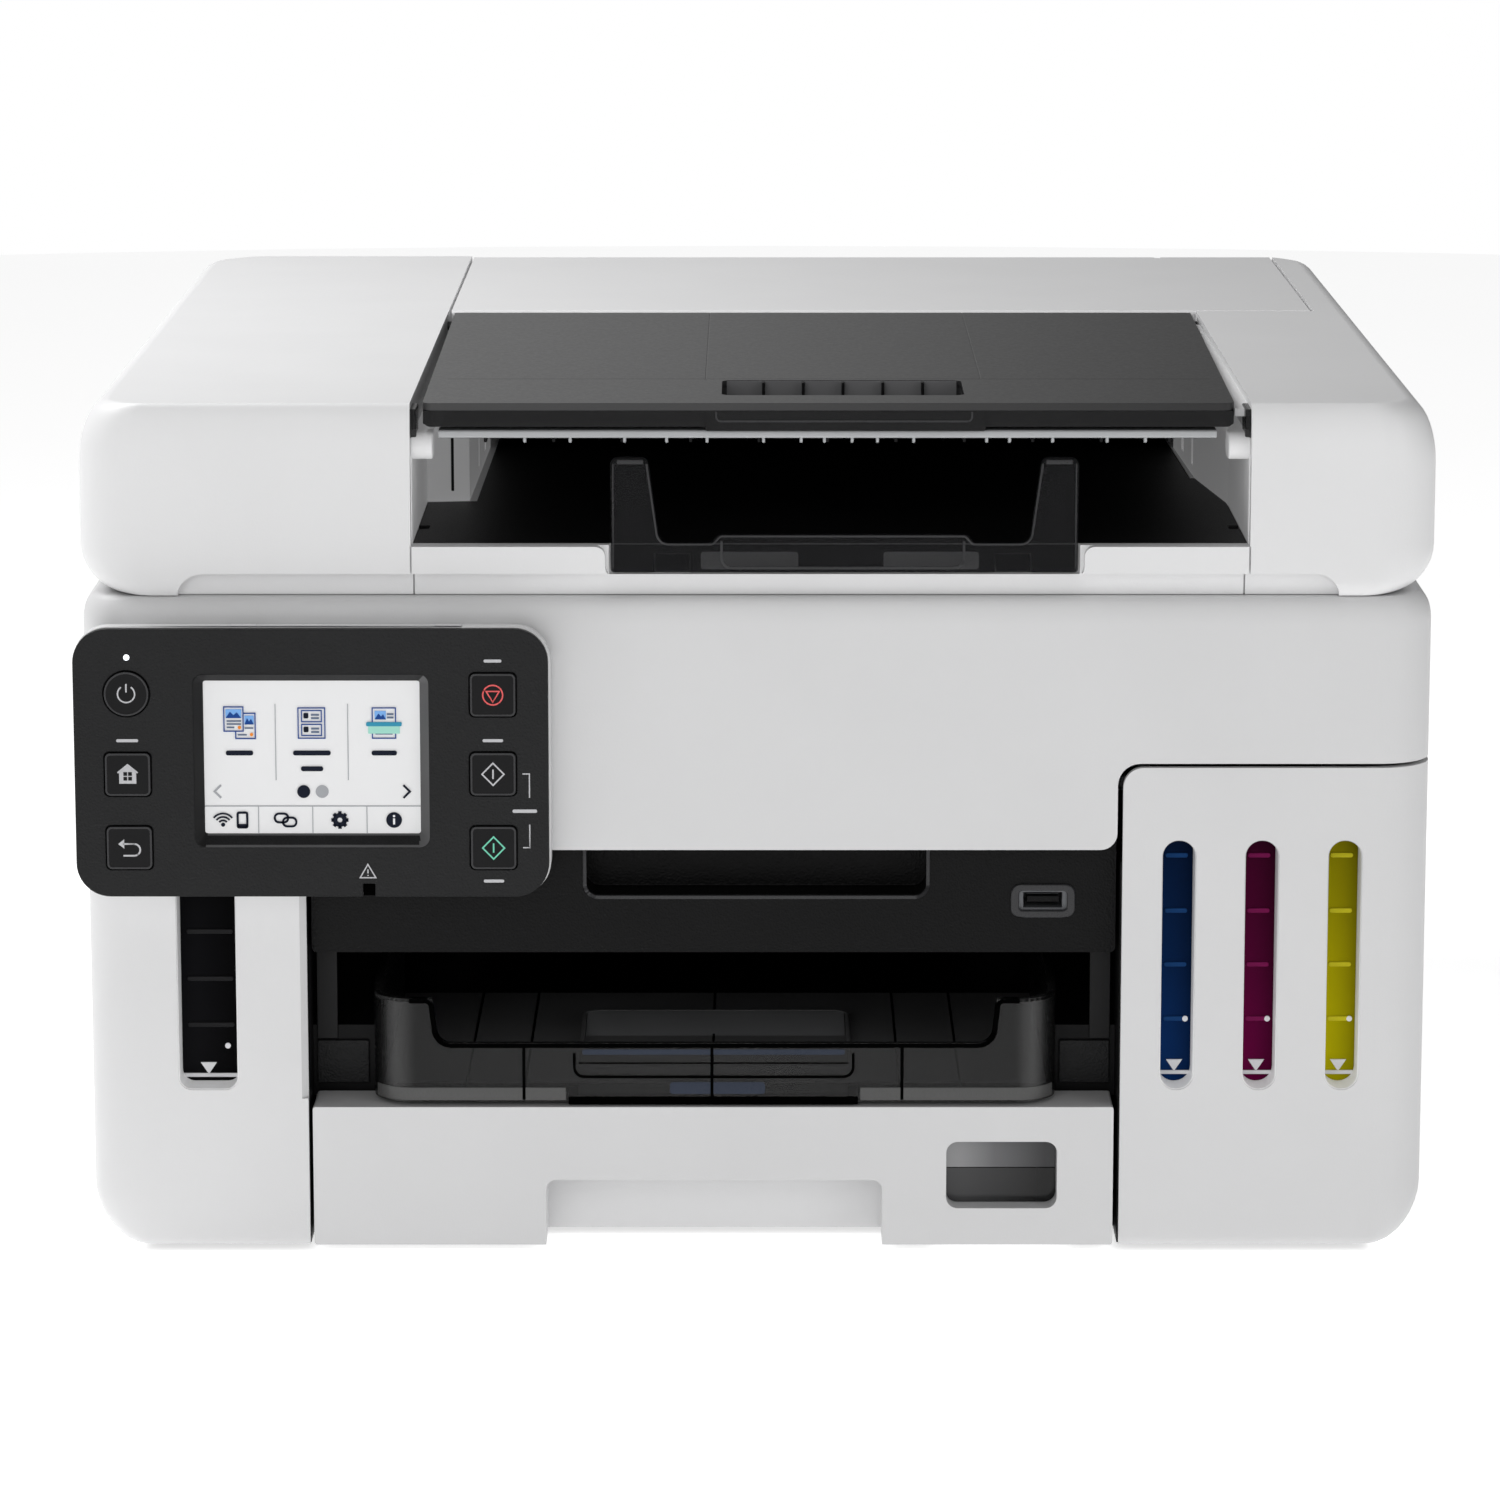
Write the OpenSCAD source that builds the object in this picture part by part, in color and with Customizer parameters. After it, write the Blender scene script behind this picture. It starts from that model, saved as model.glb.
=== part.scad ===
// Desktop inkjet printer: flatbed scanner, sheet feeder, refillable ink tanks and a paper cassette.
// Millimetres. +Z up, -Y is the front, origin at the centre of the footprint on the table.

/* [Body] */
// outside width of the lid
body_w = 399; // [360:1:440]
// outside width of the case below the lid
case_w = 398; // [360:1:439]
// depth in front of the origin, to the face of the case
front_d = 192; // [170:1:210]
// depth behind the origin, to the back of the case
back_d = 197.5; // [180:0.5:210]
// depth behind the origin, to the back of the lid
lid_back_d = 205; // [190:1:215]
// overall height
body_h = 255; // [230:1:280]
// skin thickness of the case
wall_t = 2.5; // [2:0.1:3.5]
// corner radius of the case at the front
corner_r = 16; // [8:1:20]
// height of the feet
feet_h = 2; // [1:0.5:5]

/* [Levels] */
// top of the side covers
cover_top = 147.2; // [140:0.1:150]
// underside of the scanner unit at the sides
unit_z = 148.4; // [147.8:0.1:151]
// top of the scanner unit
unit_top = 198; // [190:1:202]
// underside of the lid rim
lid_z = 198.4; // [190.4:0.1:202.4]
// bottom edge of the front skirt
skirt_z = 122.5; // [118:0.5:130]

/* [Paper path] */
// left side of the centre bay
bay_x0 = -132.3; // [-140:0.1:-125]
// right side of the centre bay
bay_x1 = 106; // [98:0.1:112]
// top of the cassette front
cassette_top = 44.4; // [40:0.1:48]
// centre line of the sheets
paper_cx = -13; // [-20:1:0]
// width of the widest sheet
paper_w = 210; // [200:1:216]
// radius of the feed and eject rollers
roller_r = 6; // [5:0.5:7]
// radius of the pickup roller
pickup_r = 14; // [12:0.5:14]

/* [Ink tanks] */
// width of a colour tank
tank_w = 22; // [18:0.5:23]
// distance between the colour tanks
tank_pitch = 24.5; // [23.5:0.1:26]
// top of the tanks
tank_top = 128; // [120:1:130]
// width of a window slot
slot_w = 10.2; // [8:0.1:12]
// bottom and top of the window slots
slot_z0 = 49.6; // [45:0.1:60]
slot_z1 = 125.5; // [120:0.5:127]

/* [Control panel] */
// left and right edges
panel_x0 = -199.5; // [-199.5:0.5:-190]
panel_x1 = -60.5; // [-70:0.5:-50]
// bottom and top edges
panel_z0 = 111.2; // [105:0.1:115]
panel_z1 = 191.2; // [188:0.1:192]
// how far the face stands out in front of the case
panel_proud = 13; // [11:0.5:15]

/* [Document feeder] */
// left and right walls of the feeder bay
adf_x0 = -101.3; // [-105:0.1:-95]
adf_x1 = 144; // [138:0.1:146]
// top of the output floor
adf_floor_z = 213; // [211:1:216]

/* [Hidden] */
$fn = 48;
front_y = -front_d;
panel_y = front_y - panel_proud;
lid_t = 3;
fit = 0.05;
unit_axis = [194.2, 151.8];
lid_axis = [198, 203];
tray_axis = [30, 251];
flap_axis = [198, 248];
panel_axis = [-197.5, 186];
feed_axis = [82, 76];
eject_axis = [-18, 74];
pickup_axis = [98, 56];
rail_axis = [58, 118];
belt_z = 100;
belt_x = [-115, 182];
motor_axis = [120, 40];
tank_x = [149 - tank_pitch, 149, 149 + tank_pitch];
neck_y = -164;
tank_y = -181;
cap_axis = [-152.5, 136];

// ---- helpers

// block between two corners
module box(x0, x1, y0, y1, z0, z1) {
    translate([x0, y0, z0]) cube([x1 - x0, y1 - y0, z1 - z0]);
}

// flat rectangle with round corners
module rr(x0, y0, x1, y1, r) {
    translate([x0 + r, y0]) square([x1 - x0 - 2 * r, y1 - y0]);
    translate([x0, y0 + r]) square([x1 - x0, y1 - y0 - 2 * r]);
    for (x = [x0 + r, x1 - r]) {
        for (y = [y0 + r, y1 - r]) translate([x, y]) circle(r = r);
    }
}

// flat shape of half width x, with its own corner radius at the low and at the high end
module outline(x, y0, y1, r0, r1) {
    translate([-x, y0 + r0]) square([2 * x, y1 - y0 - r0 - r1]);
    translate([-x + r0, y0]) square([2 * (x - r0), y1 - y0 - r1]);
    translate([-x + r1, y0 + r0]) square([2 * (x - r1), y1 - y0 - r0]);
    for (s = [-1, 1]) {
        translate([s * (x - r0), y0 + r0]) circle(r = r0);
        translate([s * (x - r1), y1 - r1]) circle(r = r1);
    }
}

// block with its upright edges rounded
module slab(x0, x1, y0, y1, z0, z1, r) {
    translate([0, 0, z0]) linear_extrude(z1 - z0) rr(x0, y0, x1, y1, r);
}

// stand an XZ drawing up and give it depth from y0 back to y1
module stand(y0, y1) {
    translate([0, y1, 0]) rotate([90, 0, 0]) linear_extrude(y1 - y0) children();
}

// block with the corners rounded as seen from the front
module face(x0, x1, z0, z1, y0, y1, r) {
    stand(y0, y1) rr(x0, z0, x1, z1, r);
}

// rods along X and Y; p holds the other two coordinates
module rod_x(x0, x1, p, r) {
    translate([x0, p[0], p[1]]) rotate([0, 90, 0]) cylinder(h = x1 - x0, r = r);
}

module rod_y(y0, y1, x, z, r) {
    translate([x, y1, z]) rotate([90, 0, 0]) cylinder(h = y1 - y0, r = r);
}

// body of the case, set in by i on every side
module case_solid(i, z0, z1) {
    intersection() {
        translate([0, 0, z0]) linear_extrude(z1 - z0)
            outline(case_w / 2 - i, front_y + i, back_d - i, corner_r - i, 6 - i);
        stand(-250, 250) outline(case_w / 2 - i, feet_h + i, 300, corner_r - i, 1);
    }
}

// body of the lid, set in by i on every side
module lid_solid(i, z0, z1) {
    intersection() {
        translate([0, 0, z0]) linear_extrude(z1 - z0)
            outline(body_w / 2 - i, front_y + i, lid_back_d - i, 17 - i, 24 - i);
        stand(-250, 250) outline(body_w / 2 - i, lid_z, body_h - i, 13 - i, 14 - i);
    }
}

// closed belt around two equal pulleys, drawn flat
module belt_loop(p, q, r, t) {
    a = atan2(q[1] - p[1], q[0] - p[0]);
    d = norm(q - p);
    translate(p) rotate(a) difference() {
        stadium(d, r + t);
        stadium(d, r);
    }
}

module stadium(d, r) {
    circle(r = r);
    translate([d, 0]) circle(r = r);
    translate([0, -r]) square([d, 2 * r]);
}

// YZ drawing given width along X
module across(x0, x1) {
    translate([x0, 0, 0]) rotate([90, 0, 90]) linear_extrude(x1 - x0) children();
}

// ---- chassis

module bay_wall(x) {
    difference() {
        union() {
            box(x, x + 2.6, -188.5, 178, 5, 70);
            box(x, x + 2.6, -188.5, -60, 70, 118);
            box(x, x + 2.6, feed_axis[0] - 8, feed_axis[0] + 8, 70, 84);
            box(x, x + 2.6, 81, 90, 84, 100);
            box(x, x + 2.6, eject_axis[0] - 8, eject_axis[0] + 8, 70, 82);
        }
        rod_x(x - 1, x + 4, feed_axis, 4 + fit);
        rod_x(x - 1, x + 4, eject_axis, 4 + fit);
        rod_x(x - 1, x + 4, pickup_axis, 4 + fit);
    }
}

module base_frame() {
    color("#1d1e20") {
        difference() {
            slab(-183.2, 183.2, -189.2, 194.4, feet_h, 5, 2);
            box(-133.4, 107.4, -190, -170.5, 0, 6);
            box(-64, 38.2, -190, -138, 0, 6);
        }
        bay_wall(-136);
        bay_wall(107.4);
        box(-133.4, 107.4, -170, 40, 42.6, 45);
        box(-133.4, -114.9, -170, -60, 45, 64.3);
        box(89.5, 107.4, -170, -60, 45, 64.3);
        box(-188, -136, -181, -92, 43.5, 46);
        box(110, 188, -181, -92, 43.5, 46);
        rod_x(-134, 108, [152, 57], 13);
    }
}

module side_skin() {
    difference() {
        case_solid(0, feet_h, cover_top);
        case_solid(wall_t, 0, cover_top + 2);
        box(-183.4, 183.4, -190, 198, 0, 5);
        box(-196, 196, 185, 199, 0, 150);
    }
}

// wall around a tank window, running back from the skin
module sight_wall(x0, x1, r) {
    face(x0 - 1.5, x1 + 1.5, slot_z0 - 1.5, slot_z1 + 1.5, -190.5, tank_y - 0.4, r + 1.5);
}

module left_cover() {
    color("#e4e5e6") difference() {
        union() {
            intersection() {
                side_skin();
                box(-200, -133.5, -193, 198, 0, 150);
            }
            sight_wall(-172, -154.2, 2.5);
        }
        face(-172, -154.2, slot_z0, slot_z1, -193, tank_y, 2.5);
    }
}

module right_cover() {
    color("#e4e5e6") difference() {
        union() {
            intersection() {
                side_skin();
                box(107.8, 200, -193, 198, 0, 150);
            }
            for (x = tank_x) sight_wall(x - slot_w / 2, x + slot_w / 2, slot_w / 2 - 0.01);
        }
        for (x = tank_x) {
            face(x - slot_w / 2, x + slot_w / 2, slot_z0, slot_z1, -193, tank_y, slot_w / 2 - 0.01);
        }
        stand(-193, -189) difference() {
            translate([107, cover_top - 6]) square([6.8, 7]);
            translate([113.8, cover_top - 6]) circle(r = 6);
        }
    }
}

module rear_panel() {
    color("#dcddde") {
        difference() {
            intersection() {
                box(-195.8, 195.8, 194.6, 197.1, 5, cover_top);
                stand(190, 200) outline(195.8, 4.6, 300, corner_r - 3, 1);
            }
            face(-108, 82, 12, 102, 190, 200, 3);
            face(118, 184, 62, 90, 190, 200, 2);
            box(149, 177, 190, 200, 19, 45);
            box(-186, -150, 190, 200, 30, 50);
            for (x = [-150, 150]) box(x - 4.6, x + 4.6, 190, 198, 141, 150);
        }
        for (x = [-150, 150]) difference() {
            union() {
                box(x - 4, x + 4, 191, 197.1, 136, unit_axis[1]);
                rod_x(x - 4, x + 4, unit_axis, 3.2);
            }
            rod_x(x - 5, x + 5, unit_axis, 2 + fit);
        }
    }
}

module front_panel() {
    color("#17181a") {
        difference() {
            box(-133.4, 107.4, -184, -166, 89.8, 140);
            box(-130, 104, -181.5, -160, 92.2, 137.6);
            face(-51, 50.4, 106.8, 128, -185, -181, 4);
            face(75.6, 93.9, 101, 110, -185, -181, 2);
        }
        difference() {
            face(-53, 52.4, 104.8, 130, -181.5, -167, 5);
            face(-51, 50.4, 106.8, 128, -182, -169, 4);
        }
        box(-133.4, 107.4, -166, -50, 89.8, 92.2);
    }
}

module connectors() {
    color("#3a3b3e") {
        // front memory socket
        difference() {
            face(75.9, 93.6, 101.3, 109.7, -183, -181.6, 2);
            box(79, 90.5, -190, -180, 103.2, 107.8);
        }
        difference() {
            box(78, 91.5, -181.6, -168, 102.2, 108.8);
            box(79, 90.5, -190, -169.5, 103.2, 107.8);
        }
        box(80, 89.5, -181, -169.5, 105.8, 107.2);
        // rear network socket
        difference() {
            box(-184, -167, 182, 197.4, 32, 47);
            box(-182, -169, 184, 199, 34, 43);
        }
        // rear square socket
        difference() {
            box(-164, -152, 182, 197.4, 32, 44);
            box(-162.2, -153.8, 184, 199, 34, 42);
        }
        box(-161, -155, 183, 195, 37, 39.6);
        // rear power inlet
        difference() {
            box(150, 176, 180, 198.2, 20, 44);
            for (s = [-1, 1]) rod_y(184, 199, 163 + s * 4.3, 32, 4.4);
            box(158.7, 167.3, 184, 199, 27.6, 36.4);
        }
        for (s = [-1, 1]) rod_y(183, 194, 163 + s * 4.3, 32, 1.2);
    }
}

module rubber_feet() {
    color("#2b2b2c") {
        for (x = [-166, 166]) {
            for (y = [-160, 170]) translate([x, y, 0]) cylinder(h = feet_h, r = 9);
        }
    }
}

module main_board() {
    color("#1f6b3a") {
        box(-180.6, -179, -60, 150, 5, 125);
        for (y = [-40, 20, 80]) box(-184, -180.6, y, y + 26, 60, 86);
        for (y = [-45, -20, 5, 95, 120]) box(-189, -180.6, y, y + 14, 14, 26);
        for (y = [-30, -10, 60, 70]) {
            translate([-180.6, y, 110]) rotate([0, -90, 0]) cylinder(h = 10, r = 4);
        }
    }
}

module power_supply() {
    color("#8d9094") {
        difference() {
            box(118, 182, 84, 179, 5, 56);
            for (y = [96 : 8 : 160]) box(117, 119.4, y, y + 3, 16, 46);
        }
        box(150, 176, 179, 180, 20, 44);
    }
}

module print_platen() {
    color("#202123") {
        box(-136, 110, -9.5, 73, 70, 75);
        for (x = [-118 : 15 : 92]) box(x - 0.8, x + 0.8, -6, 70, 75, 79);
        box(-128, -124, -6, 70, 75, 77);
        box(98, 102, -6, 70, 75, 77);
    }
}

module carriage_rail() {
    color("#b9bcc0") {
        rod_x(-139, 192, rail_axis, 5);
        difference() {
            box(-140, 193, 79.5, 81, 86, 140);
            rod_y(78, 82, belt_x[0], belt_z, 2.1);
        }
        box(-140, 193, 70, 81, 138.5, 140);
        for (x = [-140, 190]) box(x, x + 3, 50, 81, 108, 140);
        rod_y(67, 80, belt_x[1], belt_z, 2);
    }
}

module timing_belts() {
    color("#141414") {
        stand(69.2, 74.8) belt_loop([belt_x[0], belt_z], [belt_x[1], belt_z], 6 + fit, 1.2);
        across(-147, -142) belt_loop(feed_axis, motor_axis, 8 + fit, 1.2);
        across(-154, -149) belt_loop(feed_axis, eject_axis, 8 + fit, 1.2);
    }
}

module drive_motors() {
    color("#9a9da1") {
        // paper feed motor on its bracket
        rod_x(-177, -158.5, motor_axis, 17);
        difference() {
            box(-158.5, -157, 98, 142, 5, 64);
            rod_x(-160, -156, motor_axis, 3);
        }
        // carriage motor behind the rail
        rod_y(81, 108, belt_x[0], belt_z, 15);
    }
}

module purge_unit() {
    color("#2a2b2e") {
        box(122, 190, -6, 58, 46, 66);
        box(122, 183, -6, 58, 5, 46);
        for (x = [136, 160]) difference() {
            box(x - 9, x + 9, 4, 42, 66, 80);
            box(x - 7, x + 7, 6, 40, 77, 81);
        }
        box(178, 181, 4, 42, 66, 82);
    }
}

module tank(x, w, c) {
    color(c) {
        difference() {
            union() {
                slab(x - w / 2, x + w / 2, tank_y, -96, 46, tank_top, 2);
                translate([x, neck_y, tank_top]) cylinder(h = 6, r = 7);
                for (s = [-1, 1]) box(x + s * 5 - 1.5, x + s * 5 + 1.5, -155.5, -149.5, tank_top, 139);
            }
            translate([x, neck_y, 118]) cylinder(h = 20, r = 4.5);
            rod_x(x - 10, x + 10, cap_axis, 1.5 + fit);
        }
    }
}

module tank_cap(x, c) {
    color(c) {
        translate([x, neck_y, 134.3]) cylinder(h = 5.7, r = 8);
        translate([x, neck_y, 132]) cylinder(h = 3, r = 3.2);
        box(x - 3, x + 3, neck_y, cap_axis[0], 134.3, 138);
        rod_x(x - 3, x + 3, cap_axis, 2.4);
        rod_x(x - 6.4, x + 6.4, cap_axis, 1.5);
    }
}

module ink_tank_black() tank(-163, 48, "#141416");
module ink_tank_cyan() tank(tank_x[0], tank_w, "#12355f");
module ink_tank_magenta() tank(tank_x[1], tank_w, "#6d0f3a");
module ink_tank_yellow() tank(tank_x[2], tank_w, "#b3a312");
module tank_cap_black() tank_cap(-163, "#303134");
module tank_cap_cyan() tank_cap(tank_x[0], "#1d5f9f");
module tank_cap_magenta() tank_cap(tank_x[1], "#a3245c");
module tank_cap_yellow() tank_cap(tank_x[2], "#d6c526");

module rear_cover() {
    color("#26272a") {
        difference() {
            face(-107, 81, 13, 101, 192, 203, 3);
            face(-104.5, 78.5, 15.5, 98.5, 190, 200.5, 2);
        }
        for (x = [-100 : 29 : 74]) across(x - 1, x + 1) difference() {
            translate([170, 20]) square([31, 74]);
            translate([156, 57]) circle(r = 28);
        }
        box(-101, 75, 196, 201, 20, 23);
        box(-101, 75, 196, 201, 91, 94);
    }
}

module maintenance_cartridge() {
    color("#3d4044") difference() {
        box(119, 183, 108, 203, 63, 89);
        face(138, 164, 70, 82, 196, 204, 3);
    }
}

module carriage() {
    color("#232427") {
        difference() {
            box(128, 184, -4, 50, 86, 138);
            box(131, 181, -1, 47, 89, 139);
            box(136, 176, 5, 41, 85, 90);
        }
        difference() {
            box(128, 184, 50, 66, 108, 128);
            rod_x(127, 185, rail_axis, 5 + fit);
        }
        box(150, 162, 60, 68.7, 96, 110.5);
        box(150, 162, 68.7, 77, 107.7, 110.5);
        box(150, 162, 68.7, 77, 103, 105.6);
    }
}

module print_head() {
    color("#4a4d52") {
        box(131.3, 180.7, -0.7, 46.7, 89.2, 122);
        box(136.3, 175.7, 5.3, 40.7, 82.6, 89.2);
        for (x = [139 : 10.5 : 171]) box(x, x + 7, 6, 34, 122, 132);
    }
}

module motor_pulley() {
    color("#a9acb0") {
        rod_y(69, 75, belt_x[0], belt_z, 6);
        rod_y(67.6, 68.8, belt_x[0], belt_z, 8.2);
        rod_y(75.2, 76.4, belt_x[0], belt_z, 8.2);
        rod_y(67.6, 80.8, belt_x[0], belt_z, 1.6);
    }
}

module idler_pulley() {
    color("#e2e3e4") difference() {
        union() {
            rod_y(68, 76.4, belt_x[1], belt_z, 6);
            rod_y(67.8, 68.8, belt_x[1], belt_z, 8.2);
            rod_y(75.2, 76.4, belt_x[1], belt_z, 8.2);
        }
        rod_y(66, 78, belt_x[1], belt_z, 2 + fit);
    }
}

module feed_roller() {
    color("#6a6d70") {
        rod_x(-156, 112, feed_axis, 4);
        rod_x(-128, 102, feed_axis, roller_r);
        rod_x(-147, -142, feed_axis, 8);
        rod_x(-154, -149, feed_axis, 8);
    }
}

module eject_roller() {
    color("#6a6d70") {
        rod_x(-156, 112, eject_axis, 4);
        for (x = [-112 : 22 : 86]) rod_x(x - 5, x + 5, eject_axis, roller_r);
        rod_x(-154, -149, eject_axis, 8);
    }
}

module motor_pinion() {
    color("#c2a25a") {
        rod_x(-147, -142, motor_axis, 8);
        rod_x(-158.2, -141, motor_axis, 1.6);
    }
}

module pickup_roller() {
    color("#3c3d3f") {
        rod_x(-138, 112, pickup_axis, 4);
        rod_x(paper_cx - 15, paper_cx + 15, pickup_axis, pickup_r);
    }
}

// ---- paper cassette and output tray

module cassette_tray() {
    color("#1b1c1e") {
        difference() {
            box(-131.4, 105.1, -172, 146, 5.4, 41);
            box(-129.2, 102.9, -170, 144, 7.6, 42);
            box(paper_cx - 60, paper_cx + 60, 140, 150, 24, 42);
            box(-64, 38.2, -173, -138, 5, 6.6);
        }
        for (x = [-128, 98]) box(x, x + 4, -60, -56, 7.6, 12);
        for (y = [-100, -70]) box(-118, 92, y, y + 1, 7.6, 8);
    }
}

module cassette_front() {
    color("#e4e5e6") difference() {
        face(bay_x0, bay_x1, feet_h, cassette_top, -192, -172, 0.8);
        box(bay_x0 + wall_t, bay_x1 - wall_t, -189.5, -171, feet_h - 1, cassette_top - wall_t);
        box(-63, 37.2, -193, -175.6, 0, 22);
        face(56.3, 89.3, 13.3, 33.7, -193, -189, 3.5);
    }
    color("#d4d5d6") {
        box(-65.5, 39.7, -189.5, -172, 22, 24.5);
        for (x = [-65.5, 37.2]) box(x, x + 2.5, -189.5, -172, feet_h, 22);
        box(-63, 37.2, -175.6, -172, 6.6, 22);
        box(bay_x0 + 2, -65.5, -174.5, -172, 5, 40);
        box(39.7, bay_x1 - 2, -174.5, -172, 5, 40);
        difference() {
            face(54.3, 91.3, 11.3, 35.7, -190.5, -182.6, 5);
            face(56.3, 89.3, 13.3, 33.7, -193, -182, 3.5);
        }
    }
}

module cassette_window() {
    color([0.15, 0.16, 0.17, 0.6]) {
        face(56.5, 89.1, 13.5, 33.5, -184.6, -182.4, 3.3);
        face(54.6, 91, 11.6, 35.4, -182.4, -181, 4.5);
    }
}

module lift_plate() {
    color("#b4b7ba") {
        box(-112, 86, -60, 128, 8, 9.2);
        rod_x(-124, 98, [-58, 10], 1.6);
    }
}

module side_guide(s) {
    x = paper_cx + s * (paper_w / 2 + 1);
    box(min(x, x + s * 2.4), max(x, x + s * 2.4), -105, -66, 8.2, 38);
    box(min(x, x + s * 9), max(x, x + s * 9), -105, -66, 8.2, 11);
    for (y = [-100, -72]) box(min(x, x + s * 9), max(x, x + s * 9), y, y + 2, 8.2, 30);
}

module paper_guide_left() {
    color("#5b5e62") side_guide(-1);
}

module paper_guide_right() {
    color("#5b5e62") side_guide(1);
}

module length_guide() {
    color("#5b5e62") {
        box(paper_cx - 16, paper_cx + 16, -168.5, -166, 8.2, 36);
        box(paper_cx - 16, paper_cx + 16, -166, -156, 8.2, 9.8);
    }
}

module output_tray() {
    color([0.12, 0.12, 0.13, 0.6]) difference() {
        slab(-114.4, 89, -191, -62, 45.8, 81, 12);
        slab(-112.4, 87, -189, -60, 48, 82, 10);
        face(-92, 66.6, 63.4, 90, -193, -170, 4);
        box(-115, 90, -120, -50, 68, 90);
        box(-56.3, 30, -193, -186, 44, 47.2);
    }
}

// ---- scanner unit

module scanner_housing() {
    color("#e4e5e6") {
        difference() {
            union() {
                difference() {
                    intersection() {
                        case_solid(0, unit_z, unit_top);
                        stand(-250, 250) outline(case_w / 2, 100, unit_top, 1, 5);
                    }
                    case_solid(wall_t, 100, 194);
                    box(-200, 200, 189, 199, 140, unit_axis[1]);
                }
                case_solid(1, 163, 165);
                face(-132.2, 106.2, skirt_z, 152, -192, -189.5, 5);
                rod_x(-194, 194, unit_axis, 3.2);
                box(-194, 194, 191.4, 196, unit_axis[1], 160);
                rod_y(-190, 196, 21.5, 174, 3);
            }
            for (x = [-150, 150]) box(x - 4.6, x + 4.6, 189, 199, 146, 155.4);
            box(-86, 129, -163, 133, 190, 199);
            box(-90.3, 133.3, -167.3, 137.3, 196, 199);
            box(-86, 129, 147, 161, 190, 199);
            box(-90.3, 133.3, 143, 165, 196, 199);
        }
        for (x = [-150, 150]) rod_x(x - 5, x + 5, unit_axis, 2);
        // lid hinge lugs
        for (x = [-130, 130]) difference() {
            union() {
                box(x - 4, x + 4, 194.6, 197.5, 194, 198);
                box(x - 4, x + 4, 194.6, 201.4, 198, lid_axis[1]);
                rod_x(x - 4, x + 4, lid_axis, 3.4);
            }
            rod_x(x - 5, x + 5, lid_axis, 2.5 + fit);
        }
        // control panel ears
        for (x = [-150, -90]) difference() {
            union() {
                box(x - 3, x + 3, panel_axis[0], -191, panel_axis[1] - 3.5, panel_axis[1] + 3.5);
                rod_x(x - 3, x + 3, panel_axis, 3.5);
            }
            rod_x(x - 4, x + 4, panel_axis, 1.5 + fit);
        }
    }
}

module platen_glass() {
    color([0.75, 0.85, 0.86, 0.4]) {
        box(-90, 133, -167, 137, 196, 197.9);
        box(-90, 133, 143.3, 164.7, 196, 197.9);
    }
}

module scan_bar() {
    color("#27282b") difference() {
        union() {
            box(-96, 139, 144, 166, 176.5, 190);
            box(10, 33, 142, 168, 168, 182);
        }
        rod_y(140, 170, 21.5, 174, 3 + fit);
        box(-88, 131, 151, 159, 186, 191);
    }
}

// ---- control panel

module panel_housing() {
    color("#d9dadb") {
        difference() {
            union() {
                difference() {
                    face(panel_x0, panel_x1, panel_z0, panel_z1, panel_y + 3, -192.4, 10);
                    face(panel_x0 + 2, panel_x1 - 2, panel_z0 + 2, panel_z1 - 2, -203, -194.4, 8);
                }
                rod_x(-188, -72, panel_axis, 4.4);
            }
            difference() {
                box(-201, -60, panel_axis[0], -191, panel_axis[1], 192);
                rod_x(-202, -59, panel_axis, 5.1);
            }
            for (x = [-150, -90]) box(x - 3.6, x + 3.6, -201.7, -191, 181.8, 192);
        }
        for (x = [-150, -90]) rod_x(x - 5, x + 5, panel_axis, 1.5);
    }
}

// keys: centre x, centre z, width, height
power_key = [-183.9, 171.7, 13, 13];
home_key = [-183.9, 147.8, 13.2, 12.6];
back_key = [-183.8, 125.9, 13.2, 12.6];
stop_key = [-77.1, 171.4, 13.2, 13];
mono_key = [-77.2, 147.9, 13.2, 12.6];
colour_key = [-77.2, 125.9, 13.2, 12.6];
square_keys = [home_key, back_key, stop_key, mono_key, colour_key];

module key_block(k, g, y0, y1, r) {
    face(k[0] - k[2] / 2 - g, k[0] + k[2] / 2 + g, k[1] - k[3] / 2 - g, k[1] + k[3] / 2 + g, y0, y1, r);
}

module panel_face() {
    color("#222326") difference() {
        face(panel_x0, panel_x1, panel_z0, panel_z1, panel_y + 0.4, panel_y + 3, 10);
        face(-162, -98.5, 129.5, 175.3, -206, -201, 1);
        rod_y(-206, -201, power_key[0], power_key[1], 6.8);
        for (k = square_keys) key_block(k, 0.3, -206, -201, 1.5);
    }
}

module lcd_screen() {
    color("#e8ebee") {
        face(-165, -96, 126, 178, -201.7, -198, 1);
    }
}

module square_button(k) {
    color("#1f2023") {
        key_block(k, 0, panel_y, -201.7, 1.2);
        key_block(k, 1.2, -201.7, -200.8, 1.5);
        box(k[0] - 2, k[0] + 2, -200.8, -198, k[1] - 2, k[1] + 2);
    }
}

module power_button() {
    color("#1f2023") {
        rod_y(panel_y, -201.7, power_key[0], power_key[1], 6.5);
        rod_y(-201.7, -200.8, power_key[0], power_key[1], 7.7);
        rod_y(-200.8, -198, power_key[0], power_key[1], 2);
    }
}

module home_button() square_button(home_key);
module back_button() square_button(back_key);
module stop_button() square_button(stop_key);
module mono_button() square_button(mono_key);
module colour_button() square_button(colour_key);

// ---- lid with the document feeder

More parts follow.
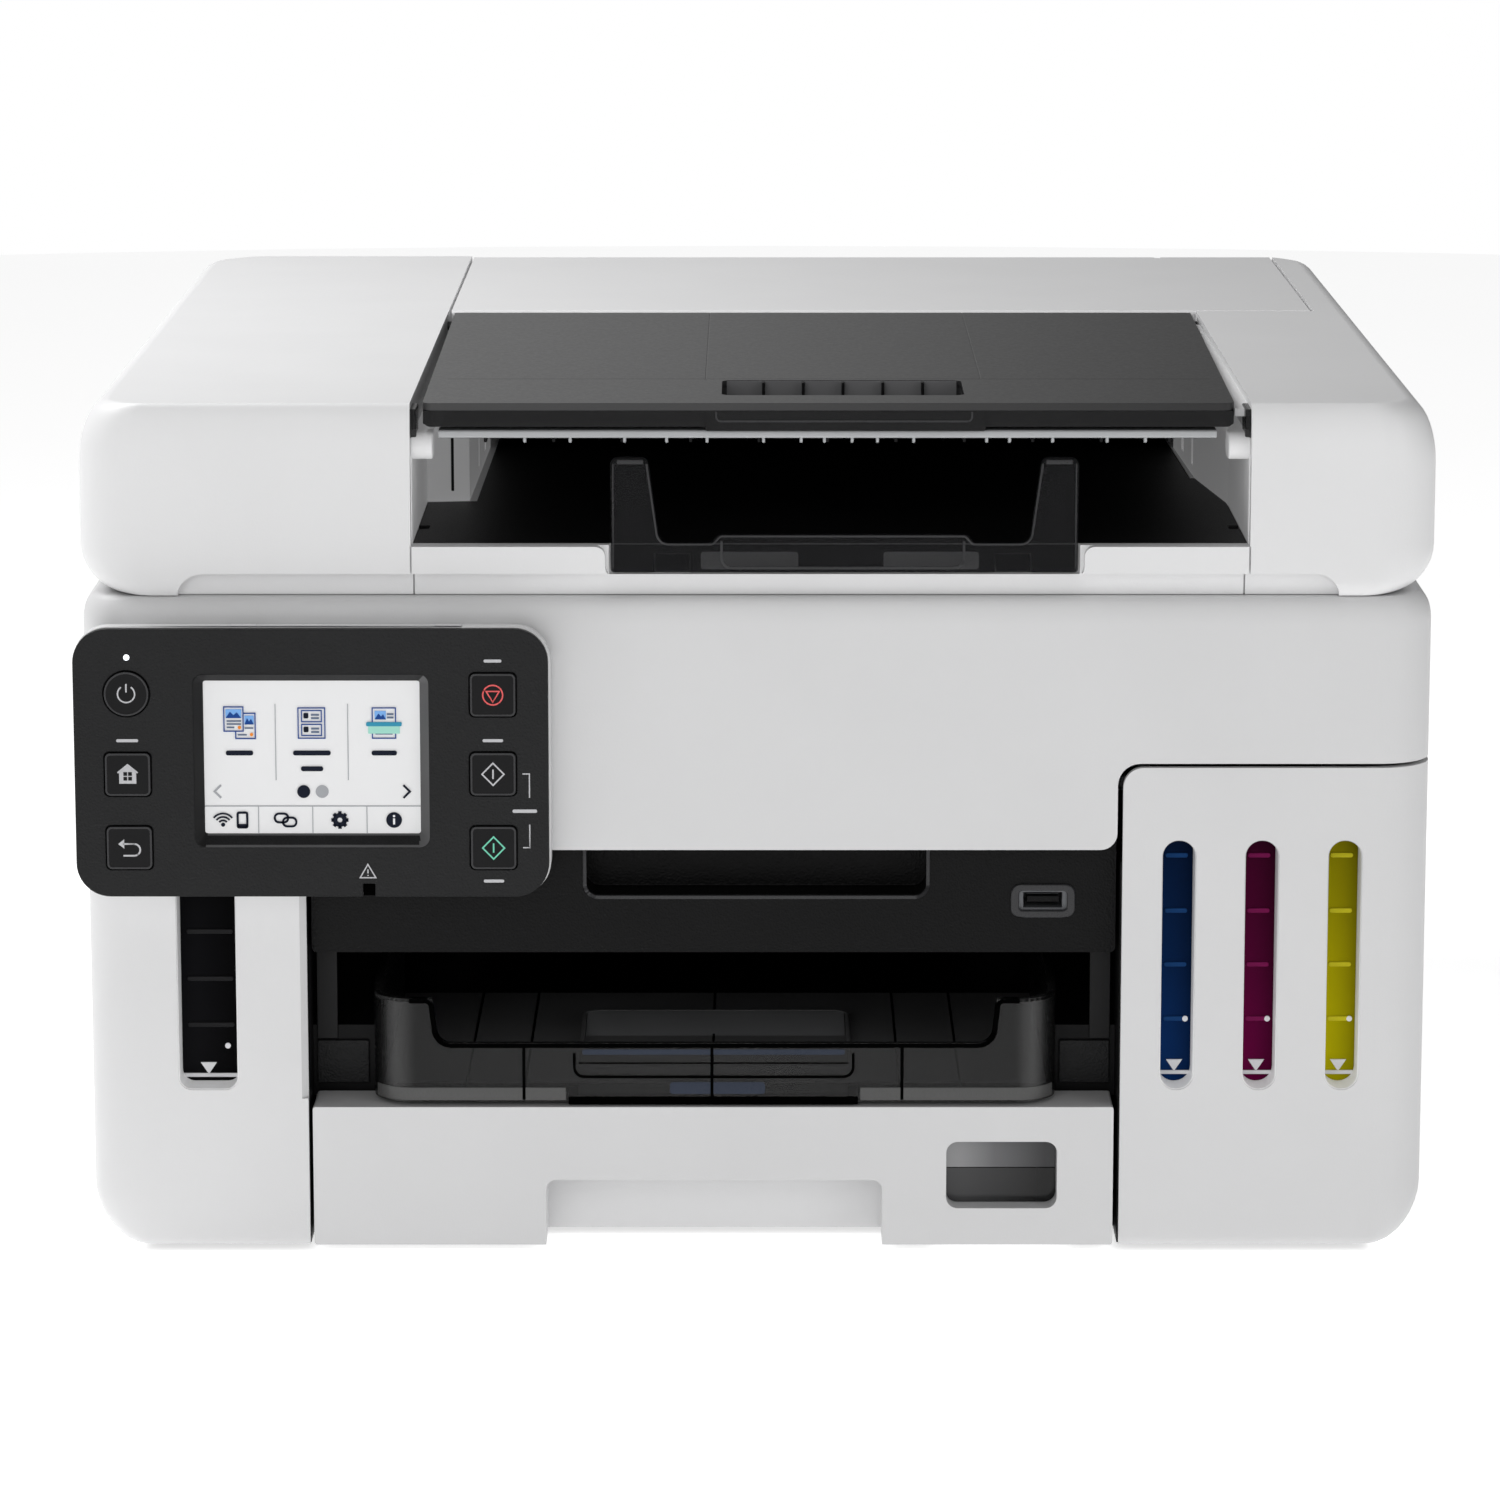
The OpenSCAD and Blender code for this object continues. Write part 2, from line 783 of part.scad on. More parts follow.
module lid_shell() {
    color("#e9eaeb") {
        difference() {
            union() {
                difference() {
                    lid_solid(0, lid_z, body_h);
                    lid_solid(lid_t, 203.5, body_h - lid_t);
                    translate([0, 0, 190]) linear_extrude(11)
                        outline(body_w / 2 - 16, front_y + 7, lid_axis[0] - 7, 12, 12);
                    box(adf_x0, adf_x1, -193, 36, adf_floor_z, 256);
                    box(-44.5, 95.7, -193, -188.9, 203.5, 214);
                    box(adf_x0 + 0.4, 182.6, 36, 206, 240.6, 256);
                    face(-161.6, 169, 190, 204, -193, -187.5, 5);
                    box(-200, 200, lid_axis[0], 206, 198, lid_axis[1]);
                    box(-88, 132, 147, 163, 200, 204);
                }
                // feeder bay walls, wider towards the back
                box(adf_x0 - 3, adf_x0, -190, 203, 202, 253);
                box(adf_x1, adf_x1 + 3, -190, 38, 202, 253);
                box(183, 186, 34, 203, 202, 253);
                box(adf_x1, 186, 34, 37, 202, 253);
                box(adf_x0, -88, -100, 14, 202, 244);
                box(137.5, adf_x1, -52, 14, 202, 244);
                for (x = [adf_x0, adf_x1 - 3]) box(x, x + 3, -184, -110, 202, 210.5);
                rod_x(-175, 175, lid_axis, 4.8);
            }
            for (x = [-130, 130]) box(x - 4.6, x + 4.6, 193, 206, 198, 207.5);
            rod_x(-103.5, 147, tray_axis, 1.5 + fit);
            rod_x(-103.5, 187, flap_axis, 2 + fit);
        }
        for (x = [-130, 130]) rod_x(x - 5, x + 5, lid_axis, 2.5);
    }
}

module adf_frame() {
    color("#3b3d40") difference() {
        union() {
            box(-98, 181, 38, 192, 204, 238);
            // fixed plate the sheets are laid on, ribbed underneath
            box(-93, 134, -186, 44, 244.2, 246.6);
            box(-93, 134, 40, 44, 236, 245);
            for (x = [-80 : 20 : 120]) box(x, x + 1, -185, 42, 242.8, 245);
            box(-86, 136, 15, 38, 204, 210);
            box(-87, 137, 15, 38, 216.4, 219.4);
            for (x = [-84 : 16 : 132]) box(x, x + 1, 15, 38, 215, 216.4);
        }
        rod_x(-90, 132, [110, 230], 12);
        box(-86, 136, 37, 104, 213, 216.4);
        box(142, 176, 50, 188, 206, 239);
        box(-90, 132, 44, 94, 222, 239);
        box(-90, 132, 126, 188, 222, 239);
        box(-94, 136, 44, 188, 203, 210.5);
        rod_x(-95, 137, [110, 230], 3 + fit);
    }
}

module adf_floor() {
    color("#131415") translate([0, 0, adf_floor_z - 2.5]) linear_extrude(2.5) polygon([
        [-101, -184.7], [-101, -158], [-97.8, -158], [-97.8, -151], [-101, -151], [-101, -104.3],
        [-86.2, -102.2], [-85, 36], [134, 36], [136, -53.8], [142.8, -56], [143.7, -110.4],
        [143.7, -151], [140.5, -151], [140.5, -158], [143.7, -158], [143.7, -184.7]
    ]);
}

module adf_stopper() {
    color([0.2, 0.2, 0.21, 0.6]) {
        difference() {
            stand(-188.6, -186.4) polygon([
                [-43, 204.8], [-43, 238], [-42, 239], [-33, 239], [-32, 238], [-29, 216], [-27, 214],
                [-25, 213.6], [76, 213.6], [78, 214], [80, 216], [83, 238], [84, 239], [93, 239],
                [94, 238], [94, 204.8]
            ]);
            face(-10, 60, 206, 211.5, -190, -187.4, 2);
        }
        for (x = [-30, 70]) box(x, x + 10, -186.4, -112, 205, 209.5);
    }
}

module document_tray() {
    color([0.13, 0.13, 0.14, 0.7]) {
        difference() {
            union() {
                box(-99, 141.8, -189.5, tray_axis[0], 252.8, body_h);
                box(-99, 141.8, -189.5, -187.3, 248, 253);
                for (x = [-99, 139.8]) box(x, x + 2, -188, tray_axis[0], 249, 253);
                rod_x(-99, 141.8, tray_axis, 4);
                box(-12, 62.5, -174, -136, 247, 254);
            }
            box(-10.5, 61, -172, -138, 248.5, 256);
        }
        for (x = [1.4 : 11.9 : 50]) box(x, x + 1, -173, -137, 248, 249.5);
        rod_x(-102.6, 145.4, tray_axis, 1.5);
    }
}

module feeder_cover() {
    color("#e9eaeb") {
        box(-99, 182, 38, flap_axis[0], 252.5, body_h);
        rod_x(-99, 182, flap_axis, 7);
        for (x = [-99, 179.5]) box(x, x + 2.5, 38, flap_axis[0], 243, 253);
        box(-99, 182, 38, 40.5, 247, 253);
        for (x = [-60 : 40 : 140]) box(x, x + 1.5, 50, 185, 246, 253);
        rod_x(-102.6, 185.6, flap_axis, 2);
    }
}

module adf_roller() {
    color("#55585c") {
        rod_x(-94, 136, [110, 230], 3);
        for (x = [-20, 43]) rod_x(x - 11, x + 11, [110, 230], 9);
    }
}

module pressure_pad() {
    color("#f2f2f2") box(-98, 141, -172, 142, 198.7, 201);
}

base_frame();
left_cover();
right_cover();
rear_panel();
front_panel();
connectors();
rubber_feet();
main_board();
power_supply();
print_platen();
carriage_rail();
timing_belts();
drive_motors();
purge_unit();
ink_tank_black();
ink_tank_cyan();
ink_tank_magenta();
ink_tank_yellow();
tank_cap_black();
tank_cap_cyan();
tank_cap_magenta();
tank_cap_yellow();
rear_cover();
maintenance_cartridge();
carriage();
print_head();
motor_pulley();
idler_pulley();
feed_roller();
eject_roller();
motor_pinion();
pickup_roller();
cassette_tray();
cassette_front();
cassette_window();
lift_plate();
paper_guide_left();
paper_guide_right();
length_guide();
output_tray();
scanner_housing();
platen_glass();
scan_bar();
panel_housing();
panel_face();
lcd_screen();
power_button();
home_button();
back_button();
stop_button();
mono_button();
colour_button();
lid_shell();
adf_frame();
adf_floor();
adf_stopper();
document_tray();
feeder_cover();
adf_roller();
pressure_pad();
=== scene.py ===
"""Looks of the inkjet printer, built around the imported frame. Drawing units here are millimetres."""
import math

import bmesh
import bpy
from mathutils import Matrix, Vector


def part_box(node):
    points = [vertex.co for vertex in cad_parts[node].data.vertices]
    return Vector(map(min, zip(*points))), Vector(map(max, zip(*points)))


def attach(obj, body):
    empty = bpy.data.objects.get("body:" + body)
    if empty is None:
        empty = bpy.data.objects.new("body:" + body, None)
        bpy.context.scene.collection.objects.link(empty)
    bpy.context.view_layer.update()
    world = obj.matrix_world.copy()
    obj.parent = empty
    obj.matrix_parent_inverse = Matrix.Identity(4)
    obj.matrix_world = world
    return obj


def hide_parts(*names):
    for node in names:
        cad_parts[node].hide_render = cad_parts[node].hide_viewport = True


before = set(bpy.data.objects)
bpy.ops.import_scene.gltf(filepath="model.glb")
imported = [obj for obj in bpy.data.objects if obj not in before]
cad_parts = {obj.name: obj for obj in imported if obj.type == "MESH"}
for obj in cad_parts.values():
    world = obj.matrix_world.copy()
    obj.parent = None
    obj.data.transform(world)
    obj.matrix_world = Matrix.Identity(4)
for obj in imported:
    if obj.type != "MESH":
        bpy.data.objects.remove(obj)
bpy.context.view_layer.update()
scene = bpy.context.scene
MM = 0.001


# ---- camera

def make_camera():
    data = bpy.data.cameras.new("camera")
    cam = bpy.data.objects.new("camera", data)
    scene.collection.objects.link(cam)
    cam.location = (0, -1.924, 0.488)
    cam.rotation_euler = (math.radians(90 - 10.96), 0, 0)
    data.lens = 144
    data.sensor_width = 36
    data.shift_x = -0.0049
    data.clip_start = 0.1
    data.clip_end = 50
    scene.camera = cam


make_camera()


# ---- places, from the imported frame

class Box:
    """A CAD node's box in millimetres."""

    def __init__(self, node):
        low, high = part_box(node)
        self.x0, self.y0, self.z0 = (v / MM for v in low)
        self.x1, self.y1, self.z1 = (v / MM for v in high)
        self.cx = (self.x0 + self.x1) / 2
        self.cz = (self.z0 + self.z1) / 2


lid = Box("lid_shell")
unit = Box("scanner_housing")
left = Box("left_cover")
right = Box("right_cover")
panel = Box("panel_face")
housing = Box("panel_housing")
screen = Box("lcd_screen")
front = Box("front_panel")
drawer = Box("cassette_front")
window = Box("cassette_window")
tray = Box("output_tray")
stopper = Box("adf_stopper")
cover = Box("document_tray")
flap = Box("feeder_cover")
floor_box = Box("adf_floor")
tanks = {c: Box("ink_tank_" + c) for c in ("black", "cyan", "magenta", "yellow")}
keys = {k: Box(k + "_button") for k in ("power", "home", "back", "stop", "mono", "colour")}
face_y = right.y0
bay_x0, bay_x1 = drawer.x0, drawer.x1


LID_HINGES = (-130, 130)
UNIT_HINGES = (-150, 150)
PANEL_HINGES = (-150, -90)
PANEL_PIN = (-197.5, 186)
DISPLAY = (-162.0, -98.5, 129.5, 175.3)

# ---- flat drawing

def fillet(points, steps=7):
    """Closed outline. A point's third number rounds that corner."""
    out = []
    n = len(points)
    for i, p in enumerate(points):
        if len(p) < 3 or p[2] <= 0:
            out.append((p[0], p[1]))
            continue
        a, b, r = Vector(points[i - 1][:2]), Vector(points[(i + 1) % n][:2]), p[2]
        v = Vector(p[:2])
        u, w = (a - v).normalized(), (b - v).normalized()
        half = u.angle(w) / 2
        reach = min(r / math.tan(half), 0.49 * (a - v).length, 0.49 * (b - v).length)
        r = reach * math.tan(half)
        centre = v + (u + w).normalized() * (r / math.sin(half))
        s, e = v + u * reach - centre, v + w * reach - centre
        turn = s.angle_signed(e)
        for k in range(steps + 1):
            t = -turn * k / steps
            out.append((centre.x + s.x * math.cos(t) - s.y * math.sin(t), centre.y + s.x * math.sin(t)
                + s.y * math.cos(t)))
    return out


def rect(x0, y0, x1, y1, r=0, steps=7):
    return fillet([(x0, y0, r), (x1, y0, r), (x1, y1, r), (x0, y1, r)], steps)


def disc(cx, cy, r, steps=40):
    return [(cx + r * math.cos(2 * math.pi * k / steps), cy + r * math.sin(2 * math.pi * k / steps))
        for k in range(steps)]


def arc(cx, cy, r, start, end, steps=16):
    angles = [math.radians(start + (end - start) * k / steps) for k in range(steps + 1)]
    return [(cx + r * math.cos(a), cy + r * math.sin(a)) for a in angles]


def stroke(points, width, closed=False):
    """One quad per stretch of a line of that width, mitred at its corners."""
    pts = [Vector(p) for p in points]
    n = len(pts)
    sides = []
    for i, p in enumerate(pts):
        before = pts[i - 1] if (closed or i > 0) else None
        after = pts[(i + 1) % n] if (closed or i < n - 1) else None
        d0 = (p - before).normalized() if before is not None else None
        d1 = (after - p).normalized() if after is not None else None
        d0 = d0 if d0 is not None else d1
        d1 = d1 if d1 is not None else d0
        mid = (d0 + d1).normalized()
        normal = Vector((-mid.y, mid.x))
        across = width / 2 / max(0.35, mid.dot(d1))
        sides.append((p + normal * across, p - normal * across))
    last = n if closed else n - 1
    quads = []
    for i in range(last):
        a, b = sides[i], sides[(i + 1) % n]
        quads.append([tuple(a[0]), tuple(a[1]), tuple(b[1]), tuple(b[0])])
    return quads


# ---- solids

def as_object(name, bm):
    bmesh.ops.recalc_face_normals(bm, faces=bm.faces)
    mesh = bpy.data.meshes.new(name)
    bm.to_mesh(mesh)
    bm.free()
    obj = bpy.data.objects.new(name, mesh)
    scene.collection.objects.link(obj)
    return obj


PLANES = {"xz": lambda a, b, d: (a * MM, d * MM, b * MM), "xy": lambda a, b, d: (a * MM, b * MM, d * MM),
    "yz": lambda a, b, d: (d * MM, a * MM, b * MM)}


def prisms(outlines, plane, low, high):
    bm = bmesh.new()
    place = PLANES[plane]
    for outline in outlines:
        ends = [[bm.verts.new(place(a, b, d)) for a, b in outline] for d in (low, high)]
        n = len(outline)
        bm.faces.new(ends[0])
        bm.faces.new(ends[1][::-1])
        for i in range(n):
            j = (i + 1) % n
            bm.faces.new((ends[0][i], ends[0][j], ends[1][j], ends[1][i]))
    return as_object("part", bm)


def xz(outline, low, high):
    return prisms([outline], "xz", low, high)


def xy(outline, low, high):
    return prisms([outline], "xy", low, high)


def yz(outline, low, high):
    return prisms([outline], "yz", low, high)


def block(x0, x1, y0, y1, z0, z1):
    return xy(rect(x0, y0, x1, y1), z0, z1)


def loft(rings):
    """Skin over rings of equal length, closed at both ends. Ring points are (x, y, z)."""
    bm = bmesh.new()
    rows = [[bm.verts.new(Vector(p) * MM) for p in ring] for ring in rings]
    n = len(rows[0])
    bm.faces.new(rows[0])
    bm.faces.new(rows[-1][::-1])
    for a, b in zip(rows, rows[1:]):
        for i in range(n):
            j = (i + 1) % n
            bm.faces.new((a[i], a[j], b[j], b[i]))
    return as_object("loft", bm)


def bar(x0, x1, y, z, r):
    return yz(disc(y, z, r, 32), x0, x1)


def bake(obj):
    shape = obj.evaluated_get(bpy.context.evaluated_depsgraph_get())
    mesh = bpy.data.meshes.new_from_object(shape)
    obj.modifiers.clear()
    obj.data = mesh
    return obj


def boolean(obj, others, operation):
    for other in others:
        m = obj.modifiers.new("b", "BOOLEAN")
        m.operation = operation
        m.solver = "EXACT"
        m.object = other
        bake(obj)
        bpy.data.objects.remove(other)
    return obj


def cut(obj, *others):
    return boolean(obj, others, "DIFFERENCE")


def fuse(obj, *others):
    return boolean(obj, others, "UNION")


def keep(obj, *others):
    return boolean(obj, others, "INTERSECT")


def gather(*objs):
    """Several solids as one piece, left unjoined."""
    bm = bmesh.new()
    for o in objs:
        bm.from_mesh(o.data)
        bpy.data.objects.remove(o)
    return as_object("gathered", bm)


EDGE_ANGLE = math.radians(32)


def soften(obj, width, segments=2):
    """Small round edges, and shading that follows them."""
    bm = bmesh.new()
    bm.from_mesh(obj.data)
    bmesh.ops.remove_doubles(bm, verts=bm.verts, dist=0.00001)
    bmesh.ops.dissolve_degenerate(bm, dist=0.00001, edges=bm.edges)
    bm.to_mesh(obj.data)
    bm.free()
    obj.data.shade_smooth()
    obj.data.set_sharp_from_angle(angle=EDGE_ANGLE)
    if width:
        m = obj.modifiers.new("edges", "BEVEL")
        m.width = width * MM
        m.segments = segments
        m.limit_method = "ANGLE"
        m.angle_limit = EDGE_ANGLE
        m.use_clamp_overlap = True
        m.miter_outer = "MITER_ARC"
    w = obj.modifiers.new("shading", "WEIGHTED_NORMAL")
    w.keep_sharp = not width
    return obj


def piece(obj, name, body, material, edge=0.4, stands_for=(), segments=2):
    obj.name = name
    soften(obj, edge, segments)
    obj.data.materials.clear()
    obj.data.materials.append(material)
    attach(obj, body)
    if stands_for:
        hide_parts(*stands_for)
    return obj


def rider(body, slot):
    """piece() for one body. Its slot is not used."""
    def put(obj, name, material, edge=0.4, stands_for=(), segments=2, slot=slot):
        return piece(obj, name, body, material, edge, stands_for, segments)
    return put


# ---- materials

def feed(tree, node, wires=None, **values):
    """Sets or wires a node's inputs. An underscore in a name stands for a space."""
    for key, value in values.items():
        node.inputs[key.replace("_", " ")].default_value = value
    for key, socket in (wires or {}).items():
        tree.links.new(socket, node.inputs[key])
    return node


def add(tree, kind, wires=None, **values):
    return feed(tree, tree.nodes.new("ShaderNode" + kind), wires, **values)


def material(name):
    """A new material, its node tree, its shader and the object coordinates."""
    made = bpy.data.materials.new(name)
    made.use_nodes = True
    tree = made.node_tree
    tree.nodes.clear()
    shader = add(tree, "BsdfPrincipled")
    add(tree, "OutputMaterial", {0: shader.outputs[0]})
    return made, tree, shader, add(tree, "TexCoord").outputs["Object"]


def noise(tree, at, scale, detail=3, rough=0.5):
    return add(tree, "TexNoise", {"Vector": at}, Scale=scale, Detail=detail, Roughness=rough).outputs["Fac"]


def ramp(tree, value, stops):
    r = add(tree, "ValToRGB", {0: value})
    while len(r.color_ramp.elements) < len(stops):
        r.color_ramp.elements.new(0.5)
    for e, (pos, colour) in zip(r.color_ramp.elements, stops):
        e.position = pos
        e.color = (*colour, 1)
    return r.outputs[0]


def flecks(tree, value, low, high):
    return ramp(tree, value, [(0.3, low), (0.7, high)])


def between(tree, value, low, high):
    """How far a value is on its way from low to high, 0 to 1."""
    return add(tree, "MapRange", {"Value": value}, From_Min=low, From_Max=high).outputs[0]


def scaled(colour, k):
    return tuple(min(1, c * k) for c in colour)


def bump(tree, height, strength, distance):
    return add(tree, "Bump", {"Height": height}, Strength=strength, Distance=distance).outputs[0]


def plastic(name, colour, rough=0.45, vary=0.03, grain=2600, depth=0.00004, strength=0.35, alpha=1.0, specular=0.5,
        leather=0):
    """Moulded plastic: a fine spark-eroded grain, slight flow marks in colour and in gloss."""
    made, tree, shader, at = material(name)
    cloud = noise(tree, at, 22, 2)
    fine = height = noise(tree, at, grain, 2, 0.6)
    if leather:
        cells = add(tree, "TexVoronoi", {"Vector": at}, Scale=leather)
        cells.feature = "SMOOTH_F1"
        height = cells.outputs["Distance"]
    feed(tree, shader, {"Base Color": flecks(tree, cloud, scaled(colour, 1 - vary), scaled(colour, 1 + vary)),
        "Roughness": flecks(tree, fine, (max(0.02, rough - 0.06),) * 3, (rough + 0.06,) * 3),
        "Normal": bump(tree, height, strength, depth)}, Specular_IOR_Level=specular, Alpha=alpha)
    return made


def metal(name, colour, rough=0.3, stretch=(1, 60, 60)):
    """Drawn or brushed metal, its lines along one axis."""
    made, tree, shader, at = material(name)
    lines = noise(tree, add(tree, "Mapping", {"Vector": at}, Scale=stretch).outputs[0], 60, 3)
    feed(tree, shader, {"Base Color": flecks(tree, lines, scaled(colour, 0.85), scaled(colour, 1.1)),
        "Roughness": flecks(tree, lines, (rough - 0.08,) * 3, (rough + 0.1,) * 3),
        "Normal": bump(tree, lines, 0.15, 0.00005)}, Metallic=1)
    return made


def graded(name, stops, axis, low, high, rough=0.12, alpha=1.0, emission=0.0, grain=900, specular=0.5, shade=None):
    """Colour that runs along one axis between two places, in millimetres. shade dims it from left to right."""
    made, tree, shader, at = material(name)
    split = add(tree, "SeparateXYZ", {0: at})
    colour = ramp(tree, between(tree, split.outputs["XYZ".index(axis)], low * MM, high * MM), stops)
    if shade:
        start, end, dim = shade
        fade = ramp(tree, between(tree, split.outputs[0], start * MM, end * MM), [(0, (1, 1, 1)), (1, (dim,) * 3)])
        times = add(tree, "VectorMath", {0: colour, 1: fade})
        times.operation = "MULTIPLY"
        colour = times.outputs[0]
    fine = noise(tree, at, grain, 2)
    wires = {"Base Color": colour, "Roughness": flecks(tree, fine, (rough,) * 3, (rough + 0.05,) * 3),
        "Normal": bump(tree, fine, 0.08, 0.00002)}
    if emission:
        wires["Emission Color"] = colour
        shader.inputs["Emission Strength"].default_value = emission
    feed(tree, shader, wires, Alpha=alpha, Specular_IOR_Level=specular)
    return made


white = plastic("body white", (0.66, 0.66, 0.665), rough=0.42, vary=0.012, grain=1500, depth=0.00008)
lid_white = plastic("lid white", (0.77, 0.77, 0.775), rough=0.4, vary=0.012, grain=1500, depth=0.00008)
drawer_white = plastic("drawer white", (0.64, 0.64, 0.645), rough=0.44, vary=0.012, grain=1500, depth=0.00008)
# Bay liner: its emission makes it glow as painted light where the bay walls lie in shade; its colour is a little
# brighter towards the bottom.
bay_liner_glow = graded("bay liner glow", [(0, (0.7, 0.7, 0.705)), (1, (0.66, 0.66, 0.665))], "Z", 213, 244, rough=0.5,
    emission=0.16, grain=1500)
# Tank window linings: emission makes them glow as painted light, and the colour is a painted light-to-shade
# gradient, brightest at the lit bottom shelf and darker towards the top where the recess shades it.
window_lining_glow = graded("window lining glow", [(0, (0.86, 0.86, 0.865)), (0.06, (0.8, 0.8, 0.805)), (1, (0.5, 0.5, 0.505))],
    "Z", 49.6, 125.5, rough=0.4, emission=0.12, grain=1500)
black = plastic("frame black", (0.004, 0.004, 0.0044), rough=0.42, vary=0.15, specular=0.12)
satin_black = plastic("satin black", (0.003, 0.003, 0.0032), rough=0.4, vary=0.1, leather=1700, depth=0.00025,
    strength=0.6, specular=0.12)
floor_black = plastic("feeder floor black", (0.004, 0.004, 0.0045), rough=0.5, vary=0.2, leather=1500, strength=0.4,
    specular=0.2)
charcoal = plastic("charcoal grain", (0.0088, 0.009, 0.0096), rough=0.44, vary=0.1, leather=1700, depth=0.00025,
    strength=0.7, specular=0.2)
key_black = plastic("key black", (0.006, 0.006, 0.0066), rough=0.4, vary=0.1, leather=1700, strength=0.3,
    specular=0.14)
bezel_black = plastic("bezel black", (0.008, 0.008, 0.0085), rough=0.4, vary=0.1, strength=0.2, specular=0.2)
# Lighter copy of the bezel's black: painted light on the facets that catch the light.
bezel_painted_light = plastic("bezel painted light", (0.085, 0.085, 0.087), rough=0.35, vary=0.1, strength=0.2, specular=0.4)
rim_black = plastic("rim black", (0.03, 0.03, 0.032), rough=0.3, vary=0.05, specular=0.3)
grey = plastic("grey plastic", (0.13, 0.135, 0.145), rough=0.45)
light_grey = plastic("light grey plastic", (0.42, 0.43, 0.44), rough=0.45)
smoke = plastic("smoked clear", (0.006, 0.006, 0.007), rough=0.24, vary=0.1, strength=0.04, alpha=0.55,
    specular=0.16)
# Smoked tray: painted highlights as bright bands on the rounded front corners, and painted shade darkening the
# outermost edges.
tray_smoke_painted_sheen = graded("smoked tray painted sheen", [(0.0, (0.004,) * 3), (0.014, (0.02,) * 3), (0.034, (0.09,) * 3),
    (0.062, (0.02,) * 3), (0.5, (0.03,) * 3), (0.94, (0.024,) * 3), (0.966, (0.1,) * 3), (0.986, (0.02,) * 3),
    (1.0, (0.004,) * 3)], "X", tray.x0, tray.x1, rough=0.24, alpha=0.55, specular=0.2)
smoke_floor = plastic("smoked floor", (0.17, 0.17, 0.175), rough=0.4, vary=0.12, strength=0.1, specular=0.3)
column_black = plastic("column black", (0.008, 0.008, 0.0085), rough=0.45, vary=0.1, strength=0.1, specular=0.2)
line_black = plastic("line black", (0.001, 0.001, 0.001), rough=0.9, vary=0.1, strength=0.02, specular=0)
smoke_gloss = plastic("smoked rim", (0.002, 0.002, 0.0022), rough=0.3, vary=0.1, strength=0.04, specular=0.2)
smoke_pale = plastic("smoked dish", (0.3, 0.305, 0.315), rough=0.35, vary=0.1, strength=0.04, specular=0.3)
smoke_veil = plastic("drawer seen through", (0.085, 0.085, 0.084), rough=0.3, vary=0.05, specular=0.2)
smoke_blue = plastic("bluish label", (0.022, 0.03, 0.05), rough=0.3, vary=0.05, specular=0.2)
# Smoked document tray: a painted reflection, brightest at the left and falling off to near black at the right.
cover_smoke_painted_falloff = graded("smoked cover painted falloff", [(0.0, (0.03, 0.03, 0.031)), (0.35, (0.026, 0.026, 0.027)),
    (1.0, (0.004, 0.004, 0.0045))], "X", cover.x0, cover.x1, rough=0.3, specular=0.5)
smoke_lip = plastic("smoked lip", (0.007, 0.007, 0.0075), rough=0.24, vary=0.08, strength=0.03, alpha=0.9,
    specular=0.2)
rubber = plastic("rubber", (0.02, 0.02, 0.02), rough=0.7, vary=0.1, grain=1500, strength=0.5)
roller_grey = plastic("roller rubber", (0.035, 0.035, 0.038), rough=0.62, vary=0.1, grain=3200, strength=0.6)
steel = metal("steel", (0.56, 0.57, 0.6), 0.32)
zinc = metal("zinc", (0.48, 0.49, 0.5), 0.4, (20, 20, 20))
brass = metal("brass", (0.6, 0.44, 0.2), 0.28)
board = plastic("circuit board", (0.012, 0.09, 0.035), rough=0.3, vary=0.25, grain=700)
foam = plastic("white foam", (0.75, 0.75, 0.74), rough=0.9, grain=900, strength=0.7, vary=0.04)
mark_white = plastic("printed white", (0.82, 0.82, 0.84), rough=0.5, strength=0.05)


# ---- carried-over CAD nodes

def dress(node, mat, edge=0.3):
    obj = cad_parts[node]
    obj.data.materials.clear()
    obj.data.materials.append(mat)
    w = obj.modifiers.new("weld", "WELD")
    w.merge_threshold = 0.00002
    d = obj.modifiers.new("flats", "DECIMATE")
    d.decimate_type = "DISSOLVE"
    d.angle_limit = math.radians(0.6)
    if edge:
        b = obj.modifiers.new("edges", "BEVEL")
        b.width = edge * MM
        b.segments = 2
        b.limit_method = "ANGLE"
        b.angle_limit = math.radians(30)
    obj.data.shade_smooth()
    n = obj.modifiers.new("shading", "WEIGHTED_NORMAL")
    n.keep_sharp = False


# ---- lid

def clamp(t):
    return max(0.0, min(1.0, t))


def ease(t):
    """Fall of a quarter circle: 0 at t = 0, 1 at t = 1."""
    return 1 - math.sqrt(max(0.0, 1 - clamp(t) ** 2))


def ring(z, half, y0, y1, r0, r1, ix, iy, hold=1.0, steps=10):
    """Plan of a case at height z, drawn in by ix at the sides and by iy at front and back."""
    points = []
    corners = ((1, y0 + r0, r0, -90), (1, y1 - r1, r1, 0), (-1, y1 - r1, r1, 90), (-1, y0 + r0, r0, 180))
    for side, cy, r, start in corners:
        for k in range(steps + 1):
            a = math.radians(start + 90 * k / steps)
            rx, ry = max(0.4, r - hold * ix), max(0.4, r - iy)
            points.append((side * (half - ix - rx) + rx * math.cos(a), cy + ry * math.sin(a), z))
    return points


LID_R0, LID_R1 = 17, 24
lid_front = face_y
lid_shoulder, lid_foot = lid.z1 - 19, lid.z0 + 13.6


